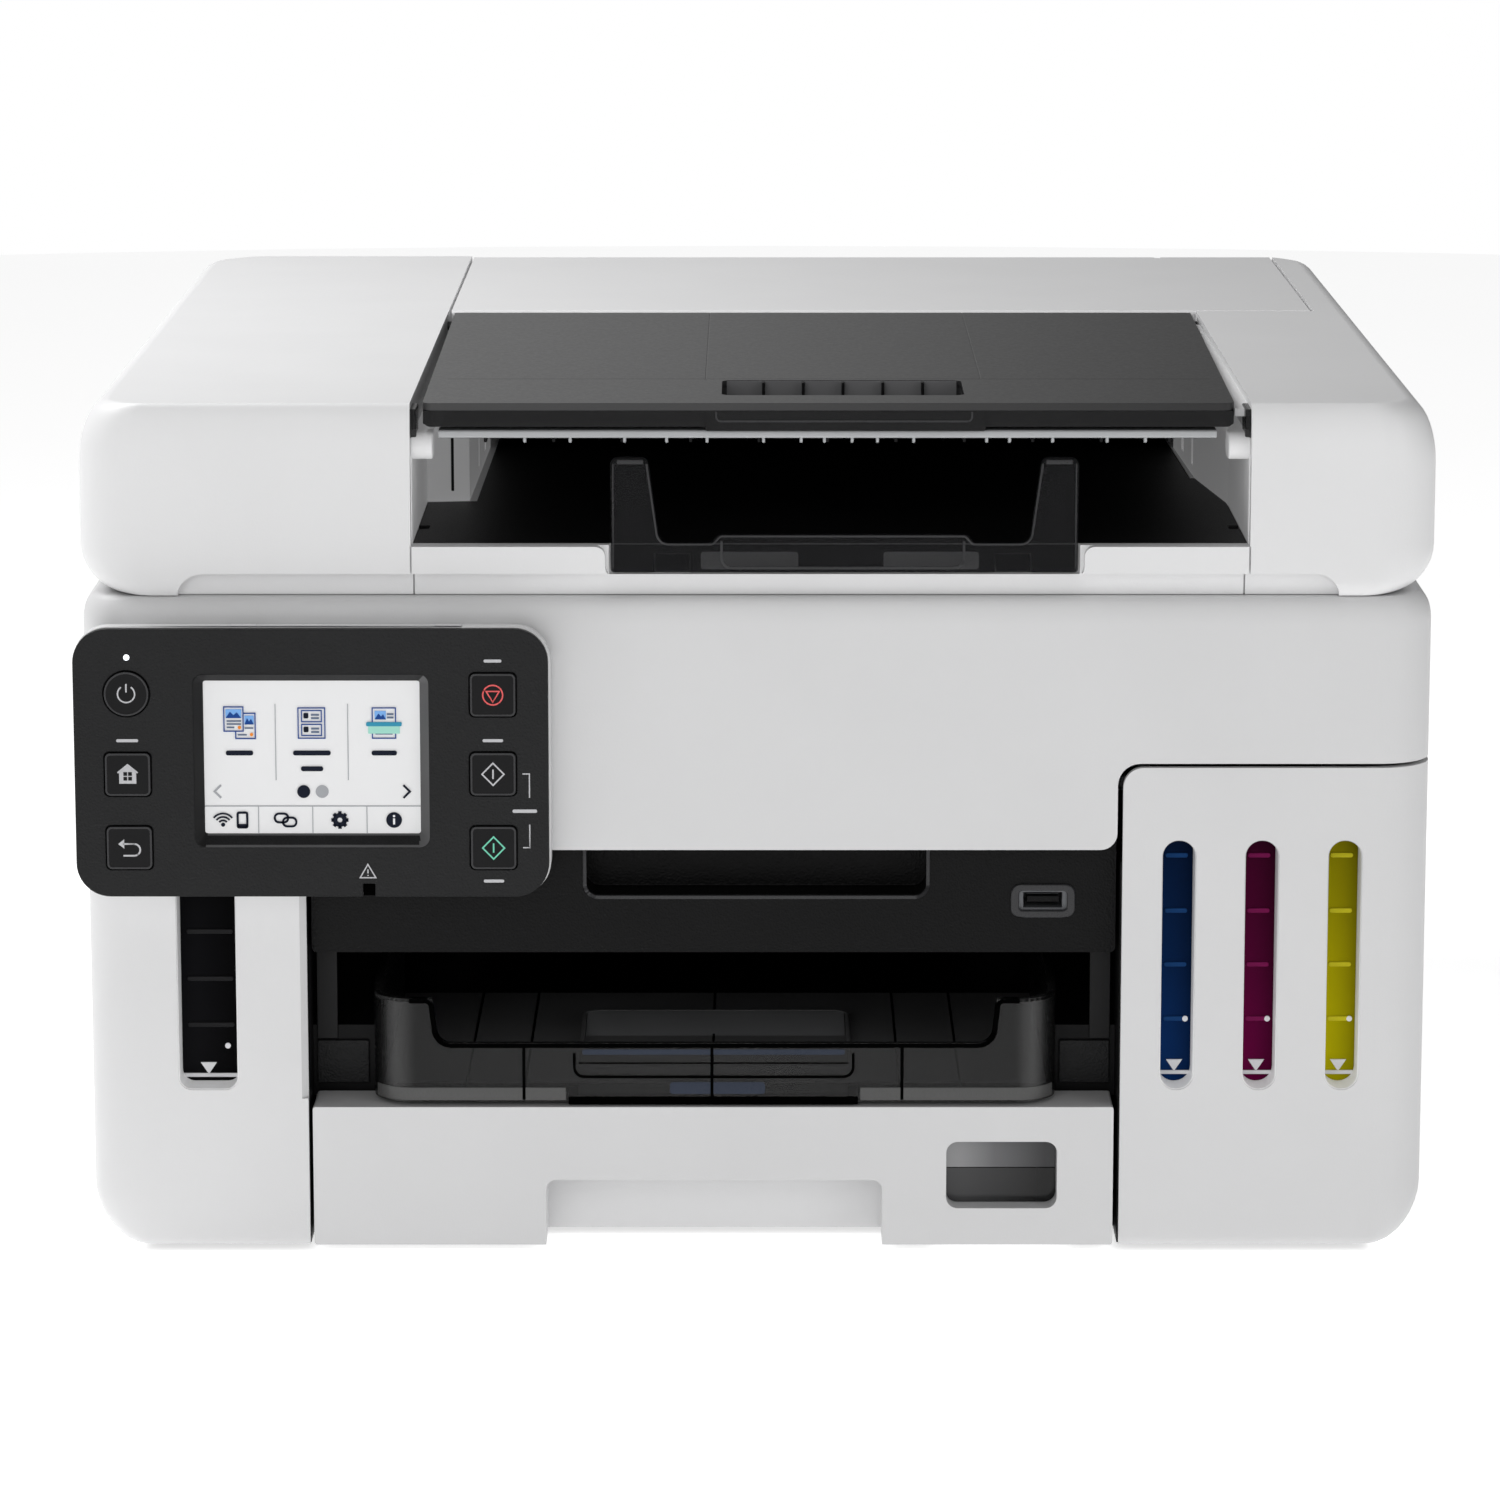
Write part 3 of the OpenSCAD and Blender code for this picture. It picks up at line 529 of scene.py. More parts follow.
def lid_ring(z):
    ix = 9.5 * ease((z - lid_shoulder) / (lid.z1 - lid_shoulder)) + 13.5 * ease((lid_foot - z) / 13.6)
    iy = 3.2 * ease((z - (lid.z1 - 10)) / 10) + 2.4 * ease((lid.z0 + 4.6 - z) / 4.6)
    return ring(z, lid.x1, lid_front, lid.y1, LID_R0, LID_R1, ix, iy, 0.6)


def lid_levels():
    quarter = [math.radians(90 * k / 10) for k in range(11)]
    low = [lid_foot - 13.6 * math.sin(a) for a in reversed(quarter)]
    high = [lid_shoulder + (lid.z1 - lid_shoulder) * math.sin(a) for a in quarter]
    return low + high


bay_l, bay_r = floor_box.x0 - 0.3, floor_box.x1 + 0.3
bay_z = floor_box.z1
channel_l, channel_r = stopper.x0 - 1.5, stopper.x1 + 1.7
pin_y, pin_z = 198.0, 203.0
flap_r = flap.x1 - 3.6


quarter_turn = [math.radians(90 * k / 8) for k in range(9)]


def make_lid():
    put = rider("lid", "lid_white")
    shell = loft([lid_ring(z) for z in lid_levels()])
    inner_back = lid.y1 - 3
    fl, fr = floor_box.x0 - 0.2, floor_box.x1 + 0.2
    floor_plan = [(fl, -184.9), (fl, -104.1), (-86.0, -102.0), (-84.8, 40), (134.2, 40), (136.2, -53.6),
        (fr - 0.6, -55.8), (fr, -110.4), (fr, -184.9)]
    cut(shell, block(bay_l, bay_r, -210, 37, bay_z, 270), xy([(bay_l, 36.5), (bay_r, 36.5), (bay_r, 37),
        (flap_r + 0.6, 37), (flap_r + 0.6, inner_back), (bay_l, inner_back)], 206, 270),
        block(bay_l, flap_r + 0.6, 190, 215, 240.6, 270), xy(floor_plan, 206, 214),
        xz(fillet([(channel_l - 8, 232), (channel_l - 8, bay_z, 3), (channel_l, bay_z, 3), (channel_l, 204, 3),
        (channel_r, 204, 3), (channel_r, bay_z, 3), (channel_r + 8, bay_z, 3), (channel_r + 8, 232)]), -210,
        -188.3), xz([(-169.8, 190)] + [(-161.8 - 8 * math.cos(t), 198.2 + 6.8 * math.sin(t)) for t in quarter_turn]
        + [(163.4 + 7 * math.sin(t), 198.2 + 6.8 * math.cos(t)) for t in quarter_turn] + [(170.4, 190)], -210,
        -187), xy([(p[0], p[1]) for p in ring(0, lid.x1 - 16, lid_front + 7, 191, 12, 12, 0, 0)], 185, 201),
        block(-230, 230, pin_y, 215, 190, pin_z), block(-88, 132, 147, 163, 199, 204.4),
        block(stopper.x0 - 0.5, stopper.x1 + 0.5, -210, -185.4, 204.2, bay_z + 0.1),
        *[block(x - 0.4, x + 10.4, -210, -111.5, 204.6, 209.9) for x in (-30, 70)])
    cut(shell, *[block(x - 0.25, x + 0.25, -210, lid_front + 1.6, 204.4, bay_z + 0.1) for x in (bay_l, bay_r)],
        *[block(x - 0.25, x + 0.25, -210, lid_front + 6.5, 190, 204.6) for x in (bay_l + 0.6, bay_r - 1.2)])
    hinge = bar(-175, 175, pin_y, pin_z, 4.8)
    cut(hinge, *[block(x - 4.6, x + 4.6, 190, 210, 195, 210) for x in LID_HINGES])
    left_wall = xy([(bay_l, -103), (-88.2, -101.4), (-87, 15.4), (bay_l, 15.4)], bay_z - 2, 244)
    cut(left_wall, block(-93.9, -93, -110, -95, bay_z + 3, 250), block(-93.2, -80, -110, -95, 239.5, 250),
        block(-92.4, -86, -52, -47, bay_z + 3, 250), block(-95, -86, -18, -10, bay_z + 3, 250))
    right_wall = xy([(bay_r, -110), (137.6, -54.5), (135.6, 15.4), (bay_r, 15.4)], bay_z - 2, 244)
    cut(right_wall, block(133, 139.6, -48, -42, bay_z + 3, 250), block(133, 139.6, -18, -10, bay_z + 3, 250))
    rails = [yz(rect(-186, 240.2, -100, 244, 1.8), x, x + 4.5) for x in (bay_l, bay_r - 4.5)]
    put(shell, "lid_body", lid_white, 0.5, ["lid_shell"])
    put(gather(hinge, *[bar(x - 5, x + 5, pin_y, pin_z, 2.5) for x in LID_HINGES]), "lid_hinge_bar", lid_white, 0.4)
    put(gather(left_wall, right_wall), "feeder_bay_walls", bay_liner_glow, 0.4)
    put(gather(*rails), "feeder_bay_rails", bay_liner_glow, 0.5)
    pivots = [yz(rect(-189, 238, -176, 246, 3.9, 10), x, x + 6.5) for x in (bay_l, bay_r - 6.5)]
    put(gather(*pivots), "tray_pivot_blocks", bay_liner_glow, 0.6)
    edge = yz(fillet([(-186.8, 244.3, 0.8), (-186.8, 246.7, 0.8), (-180, 246.7), (-180, 244.3)]), -93.2, 134.2)
    tips = [yz(fillet([(-186.4, 244.6), (-186.4, 243.0, 0.7), (-183, 242.4, 0.5), (-180, 244.6)]), x - 0.45, x
        + 0.45) for x in (-68, -54.7, -38.8, -26.5, -14.7, 1.8, 12.8, 19.6, 27.7, 35.1, 45.7, 67, 73.7, 86.3, 102.2,
        113.4)]
    put(gather(edge, *tips), "input_plate_edge", light_grey, 0.3)
    dark = xz(rect(stopper.x0 + 0.4, 204.4, stopper.x1 - 0.4, bay_z - 0.3, 1), -185.7, -184.9)
    cut(dark, *[block(x - 0.4, x + 10.4, -187, -184, 204, 210) for x in (-30, 70)])
    put(dark, "stopper_well", black, 0.2, slot="frame_black")
    pale = prisms([rect(-16.6, 205.4, 12, 210.6, 1), rect(37, 205.4, 65, 210.6, 1)], "xz", -185.86, -185.6)
    put(pale, "stopper_well_pads", mark_white, 0.1)
    pits = [block(x, x + 3, -157.9, -151.1, 207, 212.2) for x in (floor_box.x0 + 0.1, floor_box.x1 - 3.1)]
    put(gather(*pits), "feeder_floor_pits", floor_black, 0, slot="frame_black")
    ledge = xy([(cover.x1 - 5.9, -184), (bay_r + 0.1, -184), (bay_r + 0.1, 20), (cover.x1 - 3.1, 20)], 250.4, 252.6)
    put(ledge, "tray_side_ledge", lid_white, 0)
    # Thin sheets of the glowing liner over the bay side walls: painted light where those walls lie in shade.
    linings = [block(bay_l - 0.1, bay_l + 0.3, -187.5, -104, 213.2, 240),
        block(bay_r - 0.3, bay_r + 0.1, -187.5, -111, 213.2, 240)]
    put(gather(*linings), "feeder_bay_linings", bay_liner_glow, 0)
    slit = block(-93.9, -93.0, -101.4, -99.8, 213.4, 239.4)
    put(slit, "feeder_bay_slit", floor_black, 0)


make_lid()


def make_feeder_cover():
    put = rider("feeder_cover", "lid_white")
    z1 = flap.z1
    profile = fillet([(flap.y0, 247), (flap.y0, z1, 1.5), (205, z1, 7), (205, 241, 7), (193, 241, 5),
        (191, 252.4, 2), (flap.y0 + 2.5, 252.4), (flap.y0 + 2.5, 247)])
    body = yz(profile, bay_l + 0.9, flap_r - 0.5)
    cut(body, block(-88, -84, 199, 210, z1 - 0.8, z1 + 2), block(140.6, 143, 196, 202, z1 - 0.8, z1 + 2))
    ribs = [yz(fillet([(50, 253), (50, 246, 1), (185, 246, 1), (185, 253)]), x, x + 1.5)
        for x in range(-60, 150, 40)]
    sides = [yz([(flap.y0 + 2, 253), (flap.y0 + 2, 243), (193, 243), (193, 253)], x, x + 2.3)
        for x in (flap.x0 + 3.8, flap_r - 2.6)]
    put(body, "feeder_cover_panel", lid_white, 0.5, ["feeder_cover"])
    put(gather(*ribs, *sides), "feeder_cover_ribs", bay_liner_glow, 0.3)
    pins = gather(bar(flap.x0, flap.x0 + 4, 198, 248, 2), bar(flap_r - 0.2, flap.x1, 198, 248, 2))
    put(pins, "feeder_cover_pins", lid_white, 0.3)


make_feeder_cover()


def make_document_tray():
    put = rider("document_tray", "smoked")
    z1, x0, x1, y0 = cover.z1, cover.x0 + 3.6, cover.x1 - 3.6, cover.y0
    top = xy(fillet([(x0 + 1.4, y0, 3), (x1 - 2.8, y0, 3), (x1, 32.6, 1), (x0, 32.6, 1)]), z1 - 2.2, z1)
    cut(top, xy(rect(-10.5, -172, 61, -138, 3), 240, 270), *[block(x - 0.15, x + 0.15, -136, 34, z1 - 0.12, z1 + 1)
        for x in (-15.5, 67)], block(x0 + 6, x1 - 6, -135.3, -135, z1 - 0.15, z1 + 1))
    put(top, "document_tray_panel", cover_smoke_painted_falloff, 0.6, ["document_tray"], segments=3)
    lip = xz(fillet([(x0 + 1.6, z1 - 2.3), (x0 + 1.6, 248, 2), (-15.2, 248), (-15.2, 246.8, 1), (66.6, 246.8, 1),
        (66.6, 248), (x1 - 3, 248, 2), (x1 - 3, z1 - 2.3)]), y0 + 0.2, y0 + 2.2)
    cut(lip, *[block(x - 0.2, x + 0.2, y0 - 1, y0 + 0.8, 240, 260) for x in (-15.2, 66.6)])
    put(lip, "document_tray_lip", smoke_lip, 0.5)
    pocket = xy(rect(-12, -173.5, 62.5, -136.5, 4), 247.2, z1 - 1)
    cut(pocket, xy(rect(-10.5, -172, 61, -138, 3), 248.4, 270))
    put(pocket, "document_tray_grip", cover_smoke_painted_falloff, 0.4)
    grip_back = block(-10.3, 60.8, -138.5, -138.1, 248.6, z1 - 0.2)
    put(grip_back, "document_tray_grip_back", smoke_floor, 0)
    ribs = prisms([rect(x, -141.5, x + 0.9, -138.2) for x in (1.4, 13.3, 25.2, 37.1, 49)], "xy", 248.3, z1 - 0.3)
    put(ribs, "document_tray_grip_ribs", black, 0.2)
    edge = prisms(stroke(fillet([(-12, z1 - 2.6), (-12, 249.6, 2.2), (62.6, 249.6, 2.2), (62.6, z1 - 2.6)]), 0.5),
        "xz", y0 + 0.05, y0 + 0.6)
    put(edge, "document_tray_grip_edge", rim_black, 0)
    sides = [xy([(a, y0 + 2.2), (a + 2, y0 + 2.2), (b + 2, 30), (b, 30)], 248.4, z1 - 2) for a,
        b in ((x0 + 1.4, x0), (x1 - 4.8, x1 - 2))]
    hooks = [yz(fillet([(y0 + 1, z1 - 2), (y0 + 1, 243.5, 3), (y0 + 11, 243.5, 3), (y0 + 15, z1 - 2)]), x, x + 2.5)
        for x in (cover.x0 + 0.6, cover.x1 - 3.1)]
    put(gather(*sides, *hooks), "document_tray_sides", smoke_lip, 0.4)
    barrel = gather(bar(cover.x0 + 3.6, cover.x1 - 3.6, 30, 251, 3.9), bar(cover.x0, cover.x1, 30, 251, 1.5))
    put(barrel, "document_tray_hinge", cover_smoke_painted_falloff, 0.3)


make_document_tray()


def make_stopper():
    put = rider("adf_stopper", "smoked")
    x0, x1 = stopper.x0, stopper.x1
    outline = fillet([(x0, 204.8, 1), (x0, 239, 2.5), (x0 + 11, 239, 2.5), (x0 + 14.5, 213.6, 3.5),
        (-13.6, 213.6, 1.5), (-11.4, 216.2, 1.5), (61.4, 216.2, 1.5), (63.6, 213.6, 1.5), (x1 - 14.5, 213.6, 3.5),
        (x1 - 11, 239, 2.5), (x1, 239, 2.5), (x1, 204.8, 1)])
    plate = xz(outline, stopper.y0, stopper.y0 + 2.2)
    put(plate, "stopper_plate", smoke, 0.7, ["adf_stopper"], segments=3)
    rim = stroke([(x0 + 2, 237.5), (x0 + 9.6, 237.5)], 1.2) + stroke([(x1 - 9.6, 237.5), (x1 - 2, 237.5)], 1.2)
    rim += stroke(fillet([(x0 + 10.6, 237), (x0 + 13.9, 213.2, 3.5), (-13, 213.2, 1.5), (-10.9, 215.6, 1.5),
        (60.9, 215.6, 1.5), (63, 213.2, 1.5), (x1 - 13.9, 213.2, 3.5), (x1 - 10.6, 237)]), 0.6)
    rim += stroke(fillet([(-10.5, 214.2), (-10.5, 206.2, 3), (60.5, 206.2, 3), (60.5, 214.2)]), 0.8)
    rim += stroke([(x0 + 0.8, 206), (x0 + 0.8, 237)], 0.4) + stroke([(x1 - 0.8, 206), (x1 - 0.8, 237)], 0.4)
    put(prisms(rim, "xz", stopper.y0 - 0.15, stopper.y0 + 0.4), "stopper_rim", rim_black, 0.1)
    arms = [block(x, x + 10, stopper.y0 + 2.2, stopper.y1, 205, 209.5) for x in (-30, 70)]
    put(gather(*arms), "stopper_arms", smoke, 0.4)


make_stopper()


# ---- scanner unit and side covers

CASE_R0, CASE_R1 = 16, 6
unit_z = 148.4
unit_top = 198.0


def unit_ring(z):
    t = (z - (unit_top - 8)) / 8
    return ring(z, unit.x1, face_y, 197.5, CASE_R0, CASE_R1, 4.5 * ease(t), 3 * ease(t))


def make_unit():
    put = rider("scanner_unit", "case_white")
    levels = [122.5, 148.4, 170, unit_top - 8]
    levels += [unit_top - 8 + 8 * math.sin(math.radians(90 * k / 7)) for k in range(1, 8)]
    body = loft([unit_ring(z) for z in levels])
    skirt_out = fillet([(-230, 90), (-230, unit_z), (-132.2, unit_z), (-132.2, 122.5), (106.2, 122.5, 5),
        (106.2, unit_z, 6.5), (230, unit_z), (230, 90)])
    inner = xy([(p[0], p[1]) for p in ring(0, unit.x1, face_y, 197.5, CASE_R0, CASE_R1, 2.5, 2.5)], 110, 194)
    cut(body, xz(skirt_out, -230, 230), block(-230, 230, face_y + 2.5, 230, 100, unit_z), inner,
        block(-86, 129, -163, 133, 185, 205), block(-90.3, 133.3, -167.3, 137.3, 196, 205),
        block(-86, 129, 147, 161, 185, 205), block(-90.3, 133.3, 143, 165, 196, 205),
        block(-200, 200, 189, 205, 140, 151.8))
    cut(body, *[block(x - 4.6, x + 4.6, 189, 205, 146, 155.4) for x in UNIT_HINGES])
    put(body, "scanner_case", white, 0.5, ["scanner_housing"])
    pan = xy([(p[0], p[1]) for p in ring(0, unit.x1, face_y, 197.5, CASE_R0, CASE_R1, 2, 2)], 163, 165)
    rail = xz(disc(21.5, 174, 3), -189, 195)
    put(gather(pan, rail), "scanner_pan", grey, 0.3)
    hinge = bar(-194, 194, 194.2, 151.8, 3.2)
    fuse(hinge, block(-194, 194, 191.4, 195.2, 151.8, 160))
    cut(hinge, *[block(x - 4.6, x + 4.6, 189, 199, 146, 155.4) for x in UNIT_HINGES])
    lug = fillet([(194.6, 194), (201.4, 198), (201.4, 203, 3.3), (201.4, 206.4, 3.3), (194.6, 206.4, 3.3)])
    lugs = [cut(yz(lug, x - 4, x + 4), bar(x - 5, x + 5, pin_y, pin_z, 2.6)) for x in LID_HINGES]
    ear = arc(*PANEL_PIN, 3.4, 17, 270, 24) + [(-191, 182.6), (-191, 187)]
    ears = [cut(yz(ear, x - 3, x + 3), bar(x - 4, x + 4, *PANEL_PIN, 1.6)) for x in PANEL_HINGES]
    pins = [bar(x - 5, x + 5, 194.2, 151.8, 2) for x in UNIT_HINGES]
    put(gather(hinge, *lugs, *ears, *pins), "scanner_hinges", white, 0.3)


make_unit()


def case_ring(z, inset=0.0):
    turn = ease((19 + inset - z) / 17)
    iy = 1.2 * ease((4 - z) / 2) + inset
    corner = CASE_R0 * (1 - turn) + 2.6 * turn
    return ring(z, right.x1, face_y, 197.5, corner + iy, CASE_R1, 15.4 * turn + inset, iy, 0)


def case_shell():
    quarter = [math.radians(90 * k / 8) for k in range(9)]
    levels = [19 - 17 * math.sin(a) for a in reversed(quarter)] + [60, 100, right.z1]
    shell = loft([case_ring(z) for z in levels])
    levels = [21 - 16.6 * math.sin(a) for a in reversed(quarter)] + [60, 100, right.z1 + 3]
    return cut(shell, loft([case_ring(z, 2.5) for z in levels]), block(-183.4, 183.4, -190.5, 230, -5, 4.9),
        block(-196, 196, 185, 230, -5, 170))


slot_z0, slot_z1 = 49.6, 125.5
tank_front = tanks["cyan"].y0


def sight(x0, x1, r):
    """Wall round a tank window, and the cut through it."""
    wall = xz(rect(x0 - 1.5, slot_z0 - 1.5, x1 + 1.5, slot_z1 + 1.5, r + 1.4, 10), face_y + 1.2, tank_front - 0.4)
    hole = xz(rect(x0, slot_z0, x1, slot_z1, r, 10), face_y - 5, tank_front)
    return wall, hole


def lining(x0, x1, r):
    """Ring just inside a tank window, made bright by painted light."""
    ring_wall = xz(rect(x0 - 0.4, slot_z0 - 0.4, x1 + 0.4, slot_z1 + 0.4, r + 0.4, 10), face_y + 0.7,
        tank_front - 0.3)
    return cut(ring_wall, xz(rect(x0 + 0.3, slot_z0 + 0.3, x1 - 0.3, slot_z1 - 0.3, r - 0.3, 10), face_y - 5,
        tank_front + 2))


def make_covers():
    put = rider("chassis", "case_white")
    r = case_shell()
    keep(r, block(right.x0, 230, -230, 230, -5, 170))
    walls, holes = zip(*[sight(tanks[c].cx - 5.1, tanks[c].cx + 5.1, 5.08) for c in ("cyan", "magenta", "yellow")])
    top = right.z1
    fuse(r, *walls)
    cut(r, *holes, xz([(right.x0 - 2, top + 3), (right.x0 - 2, top - 6)] + arc(right.x0 + 6, top - 6, 6, 180, 90)
        + [(right.x0 + 6, top + 3)], face_y - 5, face_y + 6))
    put(r, "right_case", white, 0.5, ["right_cover"])
    s = case_shell()
    keep(s, block(-230, left.x1, -230, 230, -5, 170))
    wall, hole = sight(-172, -154.2, 4)
    fuse(s, wall)
    cut(s, hole, xy([(left.x1 + 1, face_y - 1), (left.x1 - 1.9, face_y - 1), (left.x1 - 1.9, face_y),
        (left.x1, face_y + 2.2), (left.x1 + 1, face_y + 2.2)], 47, 170))
    put(s, "left_case", white, 0.5, ["left_cover"])
    rings = [lining(tanks[c].cx - 5.1, tanks[c].cx + 5.1, 5.08) for c in ("cyan", "magenta", "yellow")]
    put(gather(*rings, lining(-172, -154.2, 4)), "tank_window_linings", window_lining_glow, 0)


make_covers()


# ---- ink tanks

def ink(name, low, high, dark):
    box = tanks[name]
    # Ink colour: brighter at the bottom, painted shadow of the window recess darkening it towards the top, and
    # painted shade dimming it from the left to the right of the tank.
    return graded("ink " + name, [(0.0, low), (0.5, high), (0.86, scaled(high, 0.7)), (1.0, dark)], "Z", 46, 128,
        rough=0.3, specular=0.02, shade=(box.cx - 4, box.cx + 6, 0.35))


inks = {"black": ink("black", (0.006, 0.006, 0.007), (0.004, 0.004, 0.005), (0.002, 0.002, 0.002)),
    "cyan": ink("cyan", (0.004, 0.036, 0.16), (0.002, 0.02, 0.085), (0.001, 0.007, 0.028)),
    "magenta": ink("magenta", (0.17, 0.001, 0.06), (0.1, 0.001, 0.036), (0.03, 0.001, 0.014)),
    "yellow": ink("yellow", (0.6, 0.54, 0.001), (0.48, 0.42, 0.001), (0.26, 0.22, 0.001))}
marks = {"black": (0.016, 0.016, 0.017), "cyan": (0.008, 0.05, 0.17), "magenta": (0.2, 0.008, 0.08),
    "yellow": (0.62, 0.56, 0.02)}


def make_tanks():
    for name, box in tanks.items():
        dress("ink_tank_" + name, inks[name], 0.5)
        y = box.y0
        x = box.cx
        wide = name == "black"
        levels = (118.7, 101.9, 85.5, 68.9) if not wide else (112.2, 95.5, 81.1, 67.0)
        half = 3.35 if not wide else 6.9
        ticks = [rect(x - half, z - 0.7, x + half, z + 0.7, 0.65, 4) for z in levels]
        piece(prisms(ticks, "xz", y - 0.5, y + 0.3), f"tank_{name}_marks", "chassis",
            plastic(f"{name} tank mark", marks[name], rough=0.4, strength=0.1, specular=0.05), 0.2)
        low = 52.5 if not wide else 51.6
        dx, dz = (3.1, 68.9) if not wide else (4.9, 60.6)
        tx = x if not wide else x - 0.9
        w = 5.2 if not wide else 8.9
        white_marks = [disc(x + dx, dz, 0.85, 20), rect(x - w, low - 0.55, x + w, low + 0.55),
            [(tx - 2.4, low + 3.9), (tx, low + 0.3), (tx + 2.4, low + 3.9)]]
        piece(prisms(white_marks, "xz", y - 0.6, y + 0.2), f"tank_{name}_level", "chassis",
            mark_white, 0)


make_tanks()


# ---- front bay, drawer and trays

def make_front_panel():
    put = rider("chassis", "frame_black")
    x0, x1, y0, z0 = bay_x0 - 0.2, bay_x1 + 0.4, front.y0, front.z0
    body = xz(fillet([(x0, 139.5), (x0, z0, 1.6), (x1, z0, 1.6), (x1, 139.5)]), y0, -166)
    cut(body, block(x0 + 3, x1 - 3, y0 + 2.5, -150, z0 + 2.4, 138), xz(rect(-51, 106.8, 50.4, 136, 4), y0 - 5, y0
        + 6), xz(rect(75.6, 101, 93.9, 110, 1.6), y0 - 5, y0 + 6))
    cup = xz(rect(-53, 104.8, 52.4, 134, 5), y0 + 0.6, y0 + 17)
    cut(cup, xz(rect(-51, 106.8, 50.4, 132, 4), y0 - 5, y0 + 15))
    put(body, "front_fascia", satin_black, 0.5, ["front_panel"])
    lip = stroke(fillet([(-51.2, 130), (-51.2, 106.6, 4), (50.6, 106.6, 4), (50.6, 130)]), 1.1)
    put(prisms(lip, "xz", y0 - 0.5, y0 + 1), "front_pocket_rim", rim_black, 0.15)
    put(cup, "front_pocket", satin_black, 0.4)
    shelf = block(bay_x0 - 1, bay_x1 + 1.3, -166, -50, 89.8, 92.2)
    put(shelf, "front_shelf", black, 0.3)
    frame_ring = xz(fillet([(75.2, 101, 3), (75.2, 110.6, 3), (94.3, 110.6, 3), (94.3, 101, 3), (90, 100.4, 1),
        (79.5, 100.4, 1)]), y0 - 0.9, y0 + 2)
    cut(frame_ring, xz(rect(77.6, 102.6, 91.9, 108.6, 1.2), y0 - 5, y0 + 5))
    put(frame_ring, "usb_frame", rim_black, 0.5, segments=3, slot="grey_plastic")
    tongue = xz(rect(80, 105.2, 89.5, 107, 0.3), y0 - 0.3, y0 + 10)
    put(tongue, "usb_tongue", satin_black, 0.2, slot="grey_plastic")
    columns = [block(bay_x0 + 0.1, -125.9, -170.9, -170.2, 60.2, 89.2),
        block(99.6, bay_x1 - 0.1, -170.9, -170.2, 60.2, 89.2)]
    put(gather(*columns), "bay_columns", column_black, 0.3)
    faces = [xz(rect(-132.2, 46.6, -116.6, 59.8, 0.6), -171.3, -169.8),
        xz(rect(90.6, 46.6, 105.8, 59.8, 0.6), -171.3, -169.8)]
    put(gather(*faces), "bay_block_faces", charcoal, 0.35)


make_front_panel()


def make_drawer():
    put = rider("cassette", "smoked")
    x0, x1, y0, z0, z1 = drawer.x0, drawer.x1, drawer.y0, drawer.z0, drawer.z1
    body = xz(rect(x0, z0, x1, z1, 0.8, 3), y0, drawer.y1)
    cut(body, xz(fillet([(-63, -5), (-63, 22, 3), (37.2, 22, 3), (37.2, -5)]), y0 - 5, -175.6),
        block(x0 + 2.5, -65.5, y0 + 2.5, -174.5, z0 - 1, z1 - 2.5), block(39.7, 53, y0 + 2.5, -174.5, z0 - 1,
        z1 - 2.5), block(-65.4, 39.6, y0 + 2.5, -174.5, 24.5, z1 - 2.5),
        block(92, x1 - 2.5, y0 + 2.5, -174.5, z0 - 1, z1 - 2.5), xz(rect(56.3, 13.3, 89.3, 33.7, 3.4), y0 - 5,
        window.y1 + 3), block(-63.2, 37.4, -176, -170, z0 - 2, 2.9))
    put(body, "drawer_front", drawer_white, 0.6, ["cassette_front"], slot="case_white")
    pane = xz(rect(56.4, 13.4, 89.2, 33.6, 3.3), window.y0, window.y1)
    # The window face carries painted reflection: brightest at the left and darker to the right, the upper half
    # brighter than the lower.
    halves = [keep(xz(rect(56.4, 13.4, 89.2, 33.6, 3.3), window.y0 - 0.3, window.y0 + 0.2),
        block(50, 95, -200, -170, lo, hi)) for lo, hi in ((0, 23.9), (24.1, 40))]
    lower_window_painted_reflection = dict(stops=[(0.0, (0.06, 0.06, 0.062)), (1.0, (0.003, 0.003, 0.003))], axis="X", low=56, high=86,
        rough=0.12, specular=0.3)
    upper_window_painted_reflection = dict(lower_window_painted_reflection, stops=[(0.0, (0.34, 0.34, 0.345)), (0.5, (0.13, 0.13, 0.135)),
        (1.0, (0.04, 0.04, 0.042))])
    put(pane, "drawer_window_pane", black, 0.3, ["cassette_window"])
    put(halves[0], "drawer_window_lower", graded("window painted reflection below", **lower_window_painted_reflection), 0.1)
    put(halves[1], "drawer_window_upper", graded("window painted reflection above", **upper_window_painted_reflection), 0.1)


make_drawer()


